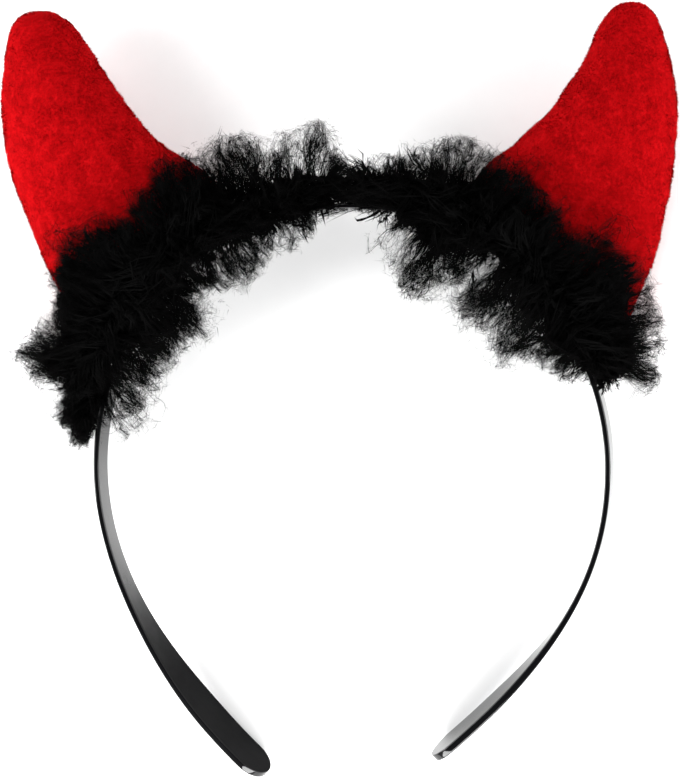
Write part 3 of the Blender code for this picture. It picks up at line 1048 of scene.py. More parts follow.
@dataclass
class MarabouTrim:
    """The run of marabou: plumes of down round a core that lies on the band and the horns."""

    pose: RestingPose
    finish: DyedMarabou = field(default_factory=DyedMarabou)
    # The locks that make the outline, as seen from the front: the angle from the right, in
    # degrees, how far the lock reaches from the band's centre, and its number of plumes
    outer_locks: tuple[tuple[float, float, int], ...] = (
        (15.5, 82, 3), (17, 80, 3), (19, 80, 4), (22, 84, 4), (25, 84.5, 4), (28, 85.5, 4),
        (31, 86, 5), (34, 88.5, 4), (37, 85.5, 4), (40, 86, 5), (43, 83, 5), (46, 80, 5), (49, 80, 5),
        (52, 82.5, 5), (55, 84, 5), (58, 84.5, 5), (61, 86, 5), (64, 86.5, 4), (67, 86.5, 3), (70, 87.5, 3),
        (73, 86.5, 5), (76, 83, 4), (79, 80.5, 4), (81.5, 79, 3), (83, 80.5, 2), (84.5, 79.5, 2),
        (86.5, 77.5, 2), (88, 77, 2), (89.5, 76.5, 2), (91.5, 79.5, 3), (93, 83, 4), (95, 86.5, 4),
        (97, 87, 2), (99, 86.5, 2), (101, 85.5, 3), (103, 83, 3), (105.5, 83, 3), (108, 87, 4),
        (110, 89, 4), (112, 89, 4), (114, 85.5, 3), (116.5, 88, 4), (119, 89, 5), (121.5, 90, 5),
        (124, 89.5, 5), (127, 87, 5), (130, 85, 5), (133, 86, 5), (136, 87, 6), (139, 89, 6),
        (142, 91, 6), (144.5, 90.5, 7), (147, 88.5, 7), (150, 85.5, 5), (152.5, 84.5, 5),
        (155, 85.5, 5), (157.5, 87.5, 5), (160, 90.5, 6), (162, 92.5, 9), (164, 88, 6),
        (166, 79, 5), (168, 75, 6), (170, 78, 7), (172, 78, 8), (174, 75, 8), (175.5, 73, 6),
    )
    inner_locks: tuple[tuple[float, float, int], ...] = (
        (22, 59, 3), (25, 55, 4), (28, 54.5, 5), (31, 53.5, 5), (34, 45, 4), (37, 49, 3),
        (40, 47, 4), (43, 49, 2), (46, 50, 4), (49, 49, 4), (51.5, 47.5, 4), (54, 46, 4),
        (58, 52, 3), (62, 52.5, 4), (65, 51, 3), (68, 46.5, 3), (71, 46, 3), (73.5, 45.5, 3),
        (76, 49, 1), (79, 57, 1), (82, 62, 1), (84.5, 64.5, 0),
        (91.5, 64.5, 0), (94, 61.5, 2), (97, 60, 3), (100, 59.5, 3),
        (103, 56, 3), (106, 56, 3), (109, 56, 3), (113, 54.5, 5), (117, 53, 5), (121, 54, 5),
        (125, 56.5, 5), (129, 57, 6), (133, 57, 6), (137, 49, 6), (139, 51, 5), (142, 54.5, 4),
        (145, 54.5, 5), (148, 53.5, 5), (150.5, 52.5, 6), (153, 53.5, 4), (157, 54, 6), (160.5, 53.5, 2),
        (164, 55.5, 2), (169, 53, 2), (168, 58, 2), (171.5, 54.5, 1),
    )
    # The thin wisps that stray over the horns' fronts and off the inner edge
    outer_wisps: tuple[tuple[float, float, int], ...] = (
        (37, 93, 1), (43, 93, 2), (50, 86, 1), (58, 90, 1),
        (112, 91, 1), (119, 92, 1), (124, 93, 2), (130, 91, 3), (136, 92, 3), (139, 95, 4),
        (141.5, 97, 4), (143.5, 95, 5), (145.5, 92, 4),
    )
    inner_wisps: tuple[tuple[float, float, int], ...] = (
        (84, 51.5, 1), (60, 50, 2), (78, 48.5, 2), (95, 60, 1), (166, 55, 2), (162, 52, 2),
    )
    # How far in and out the trim is so dense that no ground shows through
    dense_inner: tuple[tuple[float, float], ...] = (
        (18, 66), (22, 62), (26, 59), (32, 57), (38, 52), (46, 52), (54, 53), (58, 60), (64, 53),
        (74, 53), (78, 64), (83, 66), (92, 66), (100, 63), (106, 61), (114, 57), (126, 59),
        (132, 58), (138, 53),
        (150, 56), (158, 58), (166, 62), (170, 65),
    )
    dense_outer: tuple[tuple[float, float], ...] = (
        (18, 75.5), (22, 79.5), (26, 82), (34, 86), (40, 83), (48, 79), (60, 82), (70, 84), (76, 79),
        (84, 72.5), (89, 72.5), (94, 79), (98, 76), (102, 78), (110, 84), (120, 87), (130, 83),
        (142, 90), (150, 86), (156, 84), (162, 88), (166, 76),
    )
    # How far the down stands up in front of the band, and how the plumes sweep to the ends
    front_edge: tuple[tuple[float, float], ...] = (
        (14, 4), (20, 11), (28, 16), (38, 20), (50, 21), (62, 19), (72, 15), (80, 11), (88, 7),
        (94, 9), (103, 14), (113, 18), (125, 21), (138, 21), (150, 19), (160, 16), (168, 11), (177, 4),
    )
    outer_sweep: tuple[tuple[float, float], ...] = (
        (12, -8), (20, -4), (35, -2), (60, 0), (80, 2), (88, 0), (100, -2), (130, 0), (155, 0),
        (165, 3), (172, 7), (178, 9),
    )
    inner_sweep: tuple[tuple[float, float], ...] = (
        (15, -6), (30, -3), (60, 3), (80, 8), (86, 6), (92, -3), (100, -4), (130, 0), (150, 1),
        (160, 4), (170, 10),
    )
    # The line that the plumes grow from: its radius, the angles of its ends, its height over the
    # band and its rise over the horns, each with the angle of its middle and its half widths
    core_radius: float = 69.5
    start_angle: float = 19.5
    end_angle: float = 168.0
    core_height: float = 1.5
    core_rise: float = 13.2
    horn_spans: tuple[tuple[float, float, float], ...] = ((41.0, 26.0, 26.0), (140.0, 25.0, 20.0))
    # The plumes all round the line, over it in front, and down past its left end
    body_plumes: int = 620
    cover_plumes: int = 440
    tail_plumes: int = 40
    tail_roots: tuple[tuple[float, float], ...] = ((164.0, 168.0), (67.0, 70.0), (-4.0, 6.0))
    tail_tips: tuple[tuple[float, float], ...] = ((167.0, 175.5), (67.0, 74.0), (-6.0, 8.0))
    # The plumes on the outer faces of the horns' feet, and how far these reach at each angle
    foot_plumes: int = 90
    foot_faces: tuple[tuple[float, float], ...] = ((24.0, 36.0), (143.0, 155.0))
    foot_reach: tuple[tuple[float, float], ...] = ((24, 80), (36, 90), (143, 93), (148, 90), (155, 82))
    # The plumes round the sides of the horns' feet, between these angles
    side_plumes: int = 110
    foot_sides: tuple[tuple[float, float], ...] = ((20.0, 28.0), (55.0, 66.0), (114.0, 126.0), (152.0, 163.0))
    side_roots: tuple[tuple[float, float], ...] = ((67.0, 70.5), (-5.0, 7.0))
    side_tips: tuple[tuple[float, float], ...] = ((74.0, 83.0), (-7.0, 9.0))
    # The barbs of one plume, its tufts, and the strands of a tuft
    lock_barbs: int = 34
    wisp_barbs: int = 9
    core_barbs: int = 44
    tufts: int = 4
    strands: int = 2
    # The straight cut at the right end, the height that no barb passes, and the share of its
    # length by which a curly barb bows above the line from its root to its tip
    right_end: float = 20.9
    highest: float = 23.0
    bow: float = 0.25
    # Where the plumes part and the ground shows: angle, reach and half width
    gaps: tuple[tuple[float, float, float], ...] = (
        (107.0, 59.5, 2.0), (55.5, 61.5, 2.6), (98.5, 80.0, 1.5),
    )
    # Real barbs are about 0.03 mm wide, with barbules all along: drawn coarser, so that they show
    curly: tuple[Strand, ...] = (
        Strand("barb_swaying", 0.10, 7, sway=44.0, turns=1.4, hook=90.0, barbules=20, down=2.2),
        Strand("barb_hooked", 0.10, 7, sway=30.0, phase=0.4, hook=150.0, barbules=20, down=2.2),
        Strand("barb_curled", 0.10, 7, sway=54.0, turns=1.8, phase=0.7, hook=120.0, barbules=20, down=2.2),
    )
    plain: tuple[Strand, ...] = (
        Strand("core_barb_bowed", 0.24, 3, sway=30.0, turns=0.8),
        Strand("core_barb_bent", 0.24, 3, sway=40.0, turns=1.2, phase=0.3),
        Strand("core_barb_straight", 0.24, 3, sway=15.0),
    )
    # How far the grown barbs are swept together and ruffled one by one, in patches of which size
    wave: float = 8.0
    wave_size: float = 8.0
    ripple: float = 4.8
    ripple_size: float = 2.8
    # How far the down stays off the horns' skins, and the height over the table in which barbs
    # that would pass through it are laid flat
    clearance: float = 0.5
    flattened: float = 1.6
    seed: int = 7
    # The trim is made in four lengths between these angles, since one mesh would be too large
    runs: tuple[tuple[str, float, float], ...] = (
        ("right_horn", 0.0, 50.0), ("right_crown", 50.0, 92.0), ("left_crown", 92.0, 136.0),
        ("left_horn", 136.0, 180.0),
    )
    # The front view is taken from the wearer's left and a little above: what stands higher
    # shows shifted by these shares of its height
    view_shift: tuple[float, float] = (0.20, 0.05)

    def horn_front(self, angles: np.ndarray) -> np.ndarray:
        """Return how high the core lies over the horns' fronts at these angles, in mm."""
        rises = []
        for middle, before, after in self.horn_spans:
            half = np.where(angles > middle, after, before)
            rises.append(np.sqrt(np.clip(1.0 - ((angles - middle) / half) ** 2, 0.0, None)))
        return self.core_height + self.core_rise * np.maximum(*rises)

    @staticmethod
    def reading(table: tuple, angles: np.ndarray) -> np.ndarray:
        """Read the second column of a table at these angles."""
        rows = sorted(table)
        return np.interp(angles, [row[0] for row in rows], [row[1] for row in rows])

    @staticmethod
    def drawn(draw: np.random.Generator, ranges: tuple, count: int) -> list[np.ndarray]:
        """Draw this many values at random between the ends of each range."""
        return [draw.uniform(low, high, count) for low, high in ranges]

    @staticmethod
    def polar(angles: np.ndarray, reach: np.ndarray, height: np.ndarray) -> np.ndarray:
        """Turn angles in degrees, radii and heights into points of the band's plane."""
        turn = np.radians(angles)
        return np.stack([reach * np.cos(turn), reach * np.sin(turn), height], axis=1)

    def lay_locks(self, draw: np.random.Generator, table: tuple, lie: Lie, barbs: int,
                  free: bool = False) -> Plumes:
        """Lay out the plumes along one edge of the trim.

        Args:
            draw: The source of the small differences between plumes.
            table: The rows of angle, reach and number of plumes.
            lie: Which edge.
            barbs: The barbs of a plume.
            free: Whether they may stray past the outline.

        Returns:
            The plumes.
        """
        rows = np.array([row for row in table for _ in range(int(row[2]))], float)
        count = len(rows)
        sweep = self.outer_sweep if lie is Lie.OUTWARD else self.inner_sweep
        angle = rows[:, 0] + draw.normal(0.0, 0.7, count)
        reach = rows[:, 1] - lie.value * draw.uniform(0.0, 3.0, count)
        root_angle = rows[:, 0] - self.reading(sweep, rows[:, 0]) + draw.normal(0.0, 1.5, count)
        root_angle = np.clip(root_angle, self.start_angle, self.end_angle)
        lift = self.horn_front(root_angle)
        if lie is Lie.OUTWARD:
            over_horn = lift > 2.0
            height = np.where(over_horn, lift + draw.uniform(1.0, 5.0, count), draw.uniform(-4.0, 9.0, count))
            root_height = np.where(over_horn, lift, np.where(height > 2.0, 5.0, -4.5))
        else:
            height = draw.uniform(-4.0, 9.0, count)
            root_height = np.where(height > 2.0, np.maximum(lift * 0.8, 5.5), -5.5)
        roots = self.polar(root_angle, self.core_radius + draw.normal(-1.0, 1.0, count), root_height)
        tips = self.polar(angle, reach, height)
        tips[:, :2] += np.outer(height - 3.0, self.view_shift)
        fans = draw.uniform(0.04, 0.08, count) if free else draw.uniform(0.08, 0.20, count)
        return Plumes(roots, tips, fans, np.full(count, barbs), free)

    def lay_body(self, draw: np.random.Generator) -> Plumes:
        """Lay out the shorter plumes that fill the trim all round its core."""
        count = self.body_plumes
        tip_angle = draw.uniform(self.start_angle - 1.0, self.end_angle + 1.0, count)
        root_angle = tip_angle - self.reading(self.outer_sweep, tip_angle) + draw.normal(0.0, 2.0, count)
        root_angle = np.clip(root_angle, self.start_angle, self.end_angle)
        lift = self.horn_front(root_angle)
        outer = self.reading(self.dense_outer, tip_angle)
        inner = self.reading(self.dense_inner, tip_angle)
        front = self.reading(self.front_edge, tip_angle)
        around = draw.uniform(-0.3 * math.pi, 1.3 * math.pi, count)
        around = np.where(tip_angle > 158.0, draw.uniform(-0.3 * math.pi, 0.45 * math.pi, count), around)
        out, up = np.cos(around), np.sin(around)
        full = draw.uniform(0.65, 1.0, count)
        room = np.where(out > 0.0, outer - self.core_radius, self.core_radius - inner)
        reach = self.core_radius + room * out * full
        height = np.where(up > 0.0, lift * 0.6 + (front - lift * 0.6) * up, 9.0 * up)
        over_horn = (lift > 2.0) & (out > 0.0)
        height = np.where(over_horn, np.maximum(height, lift + 1.5), height)
        root_height = np.where((up > -0.1) | over_horn, lift + draw.normal(0.0, 1.0, count), -5.5)
        root_height = np.where((out < 0.0) & (up >= -0.1), np.maximum(root_height, 5.5), root_height)
        roots = self.polar(root_angle, self.core_radius + draw.normal(0.0, 1.5, count), root_height)
        fans = draw.uniform(0.10, 0.25, count)
        return Plumes(roots, self.polar(tip_angle, reach, height), fans, np.full(count, self.core_barbs))

    def lay_cover(self, draw: np.random.Generator) -> Plumes:
        """Lay out the plumes that lie over the core in front, across each other."""
        count = self.cover_plumes
        root_angle = draw.uniform(self.start_angle, self.end_angle - 4.0, count)
        crown = draw.uniform(78.0, 103.0, count)
        ends = np.where(crown < 90.5, draw.uniform(self.start_angle, 34.0, count),
                        draw.uniform(142.0, 165.0, count))
        which = draw.uniform(0.0, 1.0, count)
        root_angle = np.where(which < 0.16, crown, np.where(which < 0.32, ends, root_angle))
        lift = self.horn_front(root_angle)
        front = self.reading(self.front_edge, root_angle)
        narrow = np.interp(root_angle, (80.0, 86.0, 96.0, 102.0), (1.0, 0.3, 0.3, 1.0))
        side = self.core_radius - 0.5 + 1.5 * (1.0 - narrow)
        over = np.where(draw.uniform(0.0, 1.0, count) < 0.5, 1.0, -1.0) * narrow
        sunk = np.where(narrow < 0.6, draw.uniform(-4.5, 0.0, count), 0.0)
        roots = self.polar(root_angle, side + over * draw.uniform(0.5, 5.0, count), lift + 0.5 + sunk)
        tips = self.polar(root_angle + draw.normal(0.0, 7.0, count),
                          side - over * draw.uniform(2.0, 11.0, count),
                          np.maximum(lift, front * draw.uniform(0.7, 1.0, count)) + 1.0 + sunk)
        fans = draw.uniform(0.15, 0.35, count)
        return Plumes(roots, tips, fans, np.full(count, self.core_barbs))

    def lay_feet(self, draw: np.random.Generator) -> Plumes:
        """Lay out the plumes that lie close on the outer sides of the horns' feet."""
        count = self.foot_plumes
        right = draw.uniform(0.0, 1.0, count) < 0.5
        angle = np.where(right, *self.drawn(draw, self.foot_faces, count))
        reach = self.reading(self.foot_reach, angle) - draw.uniform(0.0, 4.0, count)
        lift = self.horn_front(angle)
        roots = self.polar(angle + draw.normal(0.0, 3.0, count), draw.uniform(70.0, 78.0, count), lift * 0.85)
        tips = self.polar(angle, reach, lift * draw.uniform(0.2, 0.7, count))
        return Plumes(roots, tips, draw.uniform(0.1, 0.2, count), np.full(count, self.core_barbs))

    def lay_sides(self, draw: np.random.Generator) -> Plumes:
        """Lay out the plumes that close the trim round the sides of the horns' feet."""
        count = self.side_plumes
        spans = np.array(self.foot_sides)
        which = draw.integers(0, len(spans), count)
        angle = draw.uniform(spans[which, 0], spans[which, 1])
        roots = self.polar(angle + draw.normal(0.0, 2.0, count), *self.drawn(draw, self.side_roots, count))
        tips = self.polar(angle, *self.drawn(draw, self.side_tips, count))
        return Plumes(roots, tips, draw.uniform(0.15, 0.3, count), np.full(count, self.core_barbs))

    def lay_tail(self, draw: np.random.Generator) -> Plumes:
        """Lay out the plumes that run on down the outside of the left leg, past the core's end."""
        count = self.tail_plumes
        roots = self.polar(*self.drawn(draw, self.tail_roots, count))
        tips = self.polar(*self.drawn(draw, self.tail_tips, count))
        return Plumes(roots, tips, draw.uniform(0.08, 0.2, count), np.full(count, self.core_barbs))

    def seen(self, points: np.ndarray) -> np.ndarray:
        """Return where points show from the front, moved into the band's plane."""
        return points[:, :2] - np.outer(points[:, 2] - 3.0, self.view_shift)

    def beside_gaps(self, draw: np.random.Generator, starts: np.ndarray, ways: np.ndarray) -> np.ndarray:
        """Find the barbs that leave the gaps open.

        Args:
            draw: The source of the small differences between barbs.
            starts: Where the barbs start, in mm.
            ways: The way to their ends.

        Returns:
            True for each barb that stays.
        """
        near, far = self.seen(starts), self.seen(starts + ways)
        line = far - near
        stays = np.ones(len(starts), bool)
        for angle, reach, half in self.gaps:
            gap = self.polar(np.array([angle]), np.array([reach]), np.zeros(1))[0, :2]
            share = ((gap - near) * line).sum(axis=1) / np.maximum((line ** 2).sum(axis=1), 1e-6)
            off = np.linalg.norm(near + line * np.clip(share, 0.0, 1.0)[:, None] - gap, axis=1)
            stray = draw.uniform(0.0, 1.0, len(starts)) < 0.06
            stays &= stray | (off > half * draw.uniform(0.7, 1.1, len(starts)))
        return stays

    def held_in(self, draw: np.random.Generator, starts: np.ndarray, ways: np.ndarray,
                free: bool) -> tuple[np.ndarray, np.ndarray]:
        """Shorten barbs that would pass the trim's outline or the straight cut at its right end.

        Args:
            draw: The source of the small differences between barbs.
            starts: Where the barbs start, in mm.
            ways: The way to their ends.
            free: Whether they may pass the outline.

        Returns:
            The starts and ways of the same barbs.
        """
        count = len(starts)
        cut = self.right_end + draw.uniform(0.0, 1.2, count)
        low = (starts[:, 0] > 50.0) & (starts[:, 1] < cut)
        starts = np.stack([starts[:, 0], np.where(low, cut, starts[:, 1]), starts[:, 2]], axis=1)
        bow = self.bow * np.linalg.norm(ways, axis=1)
        ways[:, 2] = np.minimum(ways[:, 2], self.highest - starts[:, 2] - bow)
        ends = starts + ways
        share = np.where((ends[:, 0] > 50.0) & (ends[:, 1] < cut),
                         (starts[:, 1] - cut) / np.maximum(starts[:, 1] - ends[:, 1], 1e-6), 1.0)
        if not free:
            foot, tip = self.seen(starts), self.seen(ends)
            near, far = np.hypot(foot[:, 0], foot[:, 1]), np.hypot(tip[:, 0], tip[:, 1])
            angle = np.degrees(np.arctan2(tip[:, 1], tip[:, 0]))
            outer = self.reading(self.outer_locks, angle) + draw.normal(0.0, 0.6, count)
            inner = self.reading(self.inner_locks, angle) + draw.normal(0.0, 0.6, count)
            gone = np.where(np.abs(far - near) > 0.5, far - near, 0.5)
            share = np.where(far > outer, np.minimum(share, (outer - near) / gone), share)
            share = np.where(far < inner, np.minimum(share, (inner - near) / gone), share)
        return starts, ways * np.clip(share, 0.25, 1.0)[:, None]

    def down_tree(self) -> bpy.types.NodeTree:
        """Build the tree that grows the barbs, ruffles them and lays them on what is under them."""
        tree, inputs = start_tree("marabou_down", {
            "Barb A": "NodeSocketObject", "Barb B": "NodeSocketObject", "Barb C": "NodeSocketObject",
            "Horns": "NodeSocketObject", "Wave": "NodeSocketFloat", "Wave size": "NodeSocketFloat",
            "Ripple": "NodeSocketFloat", "Ripple size": "NodeSocketFloat",
            "Clearance": "NodeSocketFloat", "Table": "NodeSocketFloat", "Seed": "NodeSocketInt",
            "Material": "NodeSocketMaterial"})
        take = inputs.outputs
        kinds = []
        for label in ("Barb A", "Barb B", "Barb C"):
            kinds.append(add_node(tree, "GeometryNodeObjectInfo", feeds={
                0: take[label], "As Instance": True}).outputs["Geometry"])
        barbs = add_node(tree, "GeometryNodeJoinGeometry", feeds={0: kinds})
        kind = add_node(tree, "GeometryNodeInputNamedAttribute", {"data_type": "INT"}, {"Name": "kind"})
        turn = add_node(tree, "GeometryNodeInputNamedAttribute", feeds={"Name": "turn"})
        way = add_node(tree, "GeometryNodeInputNamedAttribute", {"data_type": "FLOAT_VECTOR"}, {
            "Name": "way"})
        reach = add_node(tree, "ShaderNodeVectorMath", {"operation": "LENGTH"}, {0: way})
        aim = add_node(tree, "FunctionNodeAlignRotationToVector", {"axis": "Z"}, {"Vector": way})
        twist = add_node(tree, "FunctionNodeAxisAngleToRotation", feeds={
            "Axis": (0.0, 0.0, 1.0), "Angle": turn})
        turned = add_node(tree, "FunctionNodeRotateRotation", {"rotation_space": "LOCAL"}, {0: aim, 1: twist})
        girth = add_node(tree, "FunctionNodeRandomValue", {"data_type": "FLOAT"}, {
            2: 0.6, 3: 1.3, "Seed": take["Seed"]})
        size = add_node(tree, "ShaderNodeCombineXYZ", feeds={
            0: girth.outputs[1], 1: reach.outputs["Value"], 2: reach.outputs["Value"]})
        grown = add_node(tree, "GeometryNodeInstanceOnPoints", feeds={
            "Points": take["Geometry"], "Instance": barbs, "Pick Instance": True,
            "Instance Index": kind, "Rotation": turned, "Scale": size})
        bent = add_node(tree, "GeometryNodeRealizeInstances", feeds={0: grown})

        here = add_node(tree, "GeometryNodeInputPosition")
        along = add_node(tree, "GeometryNodeInputNamedAttribute", feeds={"Name": "share"})
        for amount, width in (("Wave", "Wave size"), ("Ripple", "Ripple size")):
            scale = add_node(tree, "ShaderNodeMath", {"operation": "DIVIDE"}, {0: 1.0, 1: take[width]})
            noise = add_node(tree, "ShaderNodeTexNoise", feeds={
                "Vector": here, "Scale": scale, "Detail": 0.6})
            sway = add_node(tree, "ShaderNodeVectorMath", {"operation": "SUBTRACT"}, {
                0: noise.outputs["Color"], 1: (0.5, 0.5, 0.5)})
            much = add_node(tree, "ShaderNodeMath", {"operation": "MULTIPLY"}, {0: along, 1: take[amount]})
            step = add_node(tree, "ShaderNodeVectorMath", {"operation": "SCALE"}, {0: sway, "Scale": much})
            bent = add_node(tree, "GeometryNodeSetPosition", feeds={"Geometry": bent, "Offset": step})

        horns = add_node(tree, "GeometryNodeObjectInfo", feeds={0: take["Horns"]}).outputs["Geometry"]
        near = add_node(tree, "GeometryNodeProximity", {"target_element": "FACES"}, {0: horns})
        facing = add_node(tree, "GeometryNodeInputNormal")
        outward = add_node(tree, "GeometryNodeSampleNearestSurface", {"data_type": "FLOAT_VECTOR"}, {
            "Mesh": horns, "Value": facing})
        off = add_node(tree, "ShaderNodeVectorMath", {"operation": "SUBTRACT"}, {0: here, 1: near})
        depth = add_node(tree, "ShaderNodeVectorMath", {"operation": "DOT_PRODUCT"}, {0: off, 1: outward})
        least = add_node(tree, "ShaderNodeMath", {"operation": "MULTIPLY"}, {
            0: near.outputs["Distance"], 1: -0.7})
        buried = add_node(tree, "ShaderNodeMath", {"operation": "LESS_THAN"}, {
            0: depth.outputs["Value"], 1: least})
        touching = add_node(tree, "ShaderNodeMath", {"operation": "LESS_THAN"}, {
            0: near.outputs["Distance"], 1: take["Clearance"]})
        inside = add_node(tree, "ShaderNodeMath", {"operation": "MAXIMUM"}, {0: buried, 1: touching})
        lift = add_node(tree, "ShaderNodeVectorMath", {"operation": "SCALE"}, {
            0: outward, "Scale": take["Clearance"]})
        skin = add_node(tree, "ShaderNodeVectorMath", {"operation": "ADD"}, {0: near, 1: lift})
        cleared = add_node(tree, "GeometryNodeSetPosition", feeds={
            "Geometry": bent, "Selection": inside, "Position": skin})

        split = add_node(tree, "ShaderNodeSeparateXYZ", feeds={0: here})
        under = add_node(tree, "ShaderNodeMath", {"operation": "SUBTRACT"}, {
            0: split.outputs[2], 1: take["Table"]})
        share = add_node(tree, "ShaderNodeMath", {"operation": "DIVIDE"}, {0: under, 1: take["Table"]})
        press = add_node(tree, "ShaderNodeMath", {"operation": "EXPONENT"}, {0: share})
        height = add_node(tree, "ShaderNodeMath", {"operation": "MULTIPLY"}, {0: press, 1: take["Table"]})
        low = add_node(tree, "ShaderNodeMath", {"operation": "LESS_THAN"}, {0: under, 1: 0.0})
        lain = add_node(tree, "ShaderNodeCombineXYZ", feeds={
            0: split.outputs[0], 1: split.outputs[1], 2: height})
        down = add_node(tree, "GeometryNodeSetPosition", feeds={
            "Geometry": cleared, "Selection": low, "Position": lain})
        end_tree(tree, down, inputs)
        return tree

    def grow(self, name: str, parts: list[Plumes], shapes: list[bpy.types.Object], horns: bpy.types.Object,
             tree: bpy.types.NodeTree, material: bpy.types.Material) -> None:
        """Grow one kind of plumes in four lengths, each a piece of its own.

        Args:
            name: The kind's name.
            parts: The plumes.
            shapes: The three barbs that are repeated.
            horns: The skins of both horns in one mesh, which the down lies on.
            tree: The geometry tree.
            material: The material.
        """
        draw = np.random.default_rng(self.seed)
        grown = []
        for plumes in parts:
            barbs = plumes.parted(draw, self.tufts, self.strands)
            barbs["start"], barbs["way"] = self.held_in(draw, barbs["start"], barbs["way"], plumes.free)
            stays = self.beside_gaps(draw, barbs["start"], barbs["way"])
            grown.append({key: values[stays] for key, values in barbs.items()})
        barbs = {key: np.concatenate([part[key] for part in grown]) for key in grown[0]}
        starts, ways = barbs["start"], barbs["way"]
        angle = np.degrees(np.arctan2(starts[:, 1], starts[:, 0]))
        for place, low, high in self.runs:
            mine = (angle >= low) & (angle < high)
            run = new_piece(f"{name}_{place}", self.pose.place(starts[mine]),
                            way=ways[mine] @ self.pose.turn().T * MM, turn=barbs["turn"][mine],
                            kind=barbs["kind"][mine])
            run_tree(run, tree, {
                "Barb A": shapes[0], "Barb B": shapes[1], "Barb C": shapes[2], "Horns": horns,
                "Wave": self.wave * MM, "Wave size": self.wave_size * MM, "Ripple": self.ripple * MM,
                "Ripple size": self.ripple_size * MM, "Clearance": self.clearance * MM,
                "Table": self.flattened * MM, "Seed": self.seed, "Material": material})
            join_root(run, "feather_trim")

    def build(self, horns: bpy.types.Object) -> None:
        """Grow the trim: the plumes round its core, and the locks and wisps of its edges.

        Args:
            horns: The skins of both horns in one mesh, which the down lies on.
        """
        draw = np.random.default_rng(self.seed)
        edge = [self.lay_locks(draw, self.outer_locks, Lie.OUTWARD, self.lock_barbs),
                self.lay_locks(draw, self.inner_locks, Lie.INWARD, self.lock_barbs),
                self.lay_locks(draw, self.outer_wisps, Lie.OUTWARD, self.wisp_barbs, free=True),
                self.lay_locks(draw, self.inner_wisps, Lie.INWARD, self.wisp_barbs, free=True)]
        core = [self.lay_body(draw), self.lay_cover(draw), self.lay_tail(draw), self.lay_feet(draw),
                self.lay_sides(draw)]
        material = self.finish.make()
        tree = self.down_tree()
        for name, plumes, strands in (("marabou_core", core, self.plain),
                                      ("marabou_fringe", edge, self.curly)):
            shapes = [strand.build() for strand in strands]
            self.grow(name, plumes, shapes, horns, tree, material)
            for shape in shapes:
                bpy.data.objects.remove(shape)


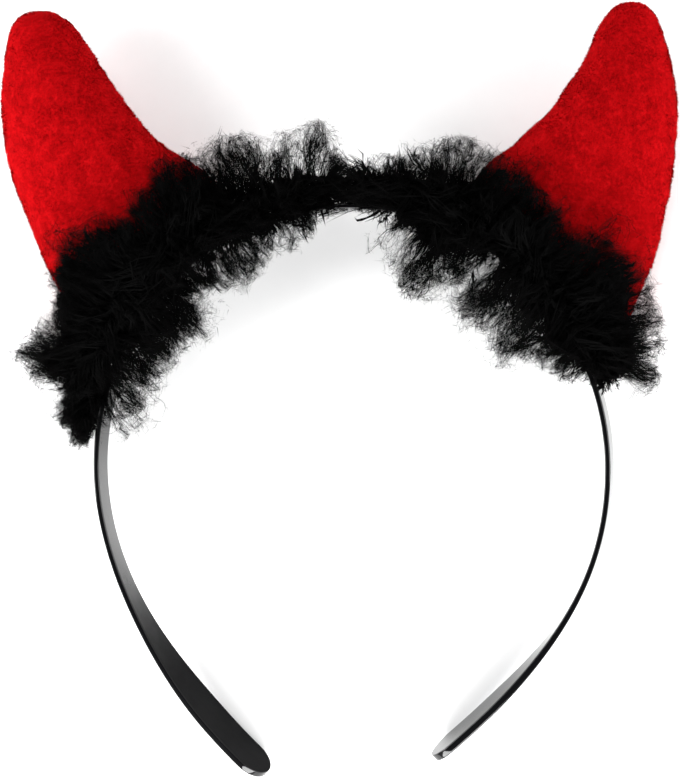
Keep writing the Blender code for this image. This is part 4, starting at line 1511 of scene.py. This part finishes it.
@dataclass
class Studio:
    """The pale table, the soft light and the camera at the photograph's angle."""

    pose: RestingPose
    finish: MattPaper = field(default_factory=MattPaper)
    distance: float = 700.0
    yaw: float = math.radians(11.3)
    pitch: float = math.radians(3.0)
    focal_pixels: float = 2772.0
    image_size: tuple[int, int] = (680, 780)
    centre_at: tuple[float, float] = (350.4, 466.8)
    sensor_width: float = 36.0
    # Half the width of the floor, in metres, and how far it lies under the headpiece
    floor_reach: float = 2.0
    floor_drop: float = 0.02
    # The tent's strength from the table up to the camera's opening, and in the opening, with the
    # heights between which it fades
    tent: float = 0.66
    opening: float = 0.05
    opening_edge: tuple[float, float] = (0.25, 0.90)
    # The soft boxes: name, place, and width and height, in metres, and power, in watts
    boxes: tuple[tuple, ...] = (
        ("box_left", (-0.29, 0.03, 0.14), (0.20, 0.20), 1.22),
        ("box_right", (0.31, 0.05, 0.11), (0.20, 0.20), 0.80),
        ("box_foot", (0.03, -0.40, 0.18), (0.42, 0.24), 5.0),
        ("box_head", (0.00, 0.36, 0.42), (0.42, 0.24), 2.25),
    )
    aim: tuple[float, float, float] = (0.0, 0.03, 0.01)

    def lay_floor(self) -> None:
        """Lay the paper that the headpiece lies on."""
        reach = self.floor_reach
        points = [(-reach, -reach, 0.0), (reach, -reach, 0.0), (reach, reach, 0.0), (-reach, reach, 0.0)]
        floor = new_piece("paper_floor", np.array(points), faces=[(0, 1, 2, 3)])
        floor.location.z = -self.floor_drop * MM
        floor.data.materials.append(self.finish.make())

    def light_world(self) -> None:
        """Light the scene from all round with soft white, but for the camera's opening overhead."""
        world = bpy.data.worlds.new("white_tent")
        world.use_nodes = True
        tree = world.node_tree
        way = add_node(tree, "ShaderNodeTexCoord").outputs["Generated"]
        height = add_node(tree, "ShaderNodeSeparateXYZ", feeds={0: way}).outputs[2]
        opening = add_node(tree, "ShaderNodeMapRange", feeds={
            "Value": height, "From Min": self.opening_edge[0], "From Max": self.opening_edge[1],
            "To Min": self.tent, "To Max": self.opening})
        feed_node(tree, tree.nodes["Background"], {"Color": linear("#fbfbfc"), "Strength": opening})
        bpy.context.scene.world = world
        bpy.context.scene.view_settings.view_transform = "Standard"

    def hang_light(self, name: str, place: tuple[float, float, float], size: tuple[float, float],
                   power: float) -> None:
        """Hang one soft box that faces the headpiece.

        Args:
            name: The light's name.
            place: Where it hangs, in metres.
            size: Its width and height, in metres.
            power: Its power, in watts.
        """
        data = bpy.data.lights.new(name, "AREA")
        data.shape = "RECTANGLE"
        data.size, data.size_y = size
        data.energy = power
        light = put(name, data)
        light.location = place
        aim = Vector(self.aim) - Vector(place)
        light.rotation_euler = aim.to_track_quat("-Z", "Y").to_euler()

    def set_camera(self) -> None:
        """Place the camera over the headpiece, turned as the photograph is."""
        turn = self.pose.turn()
        forward = turn @ np.array([-math.sin(self.yaw) * math.cos(self.pitch), -math.sin(self.pitch),
                                   -math.cos(self.yaw) * math.cos(self.pitch)])
        right = np.cross(forward, turn @ np.array([0.0, 1.0, 0.0]))
        right /= np.linalg.norm(right)
        up = np.cross(right, forward)
        width, height = self.image_size
        data = bpy.data.cameras.new("camera")
        data.sensor_width = self.sensor_width
        data.lens = self.sensor_width * self.focal_pixels / height
        data.shift_x = (width / 2.0 - self.centre_at[0]) / height
        data.shift_y = (self.centre_at[1] - height / 2.0) / height
        camera = put("camera", data)
        place = (np.array(self.pose.centre) - forward * self.distance) * MM
        axes = np.stack([right, up, -forward], axis=1)
        camera.matrix_world = Matrix.Translation(Vector(place)) @ Matrix(axes.tolist()).to_4x4()
        bpy.context.scene.camera = camera

    def build(self) -> None:
        """Set up floor, light and camera."""
        self.lay_floor()
        self.light_world()
        for box in self.boxes:
            self.hang_light(*box)
        self.set_camera()


def main() -> None:
    """Build the headpiece and its studio."""
    logging.basicConfig(level=logging.INFO, format="%(name)s: %(message)s")
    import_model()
    pose = RestingPose()
    Studio(pose).build()
    HairBand(pose).build()
    skins = [PlushHorn(Side.LEFT, pose, tip_stretch=1.5, side_stretch=0.6, side_from=74.0).build(),
             PlushHorn(Side.RIGHT, pose).build()]
    form = joined(skins)
    MarabouTrim(pose).build(form)
    bpy.data.objects.remove(form)


if __name__ == "__main__":
    main()
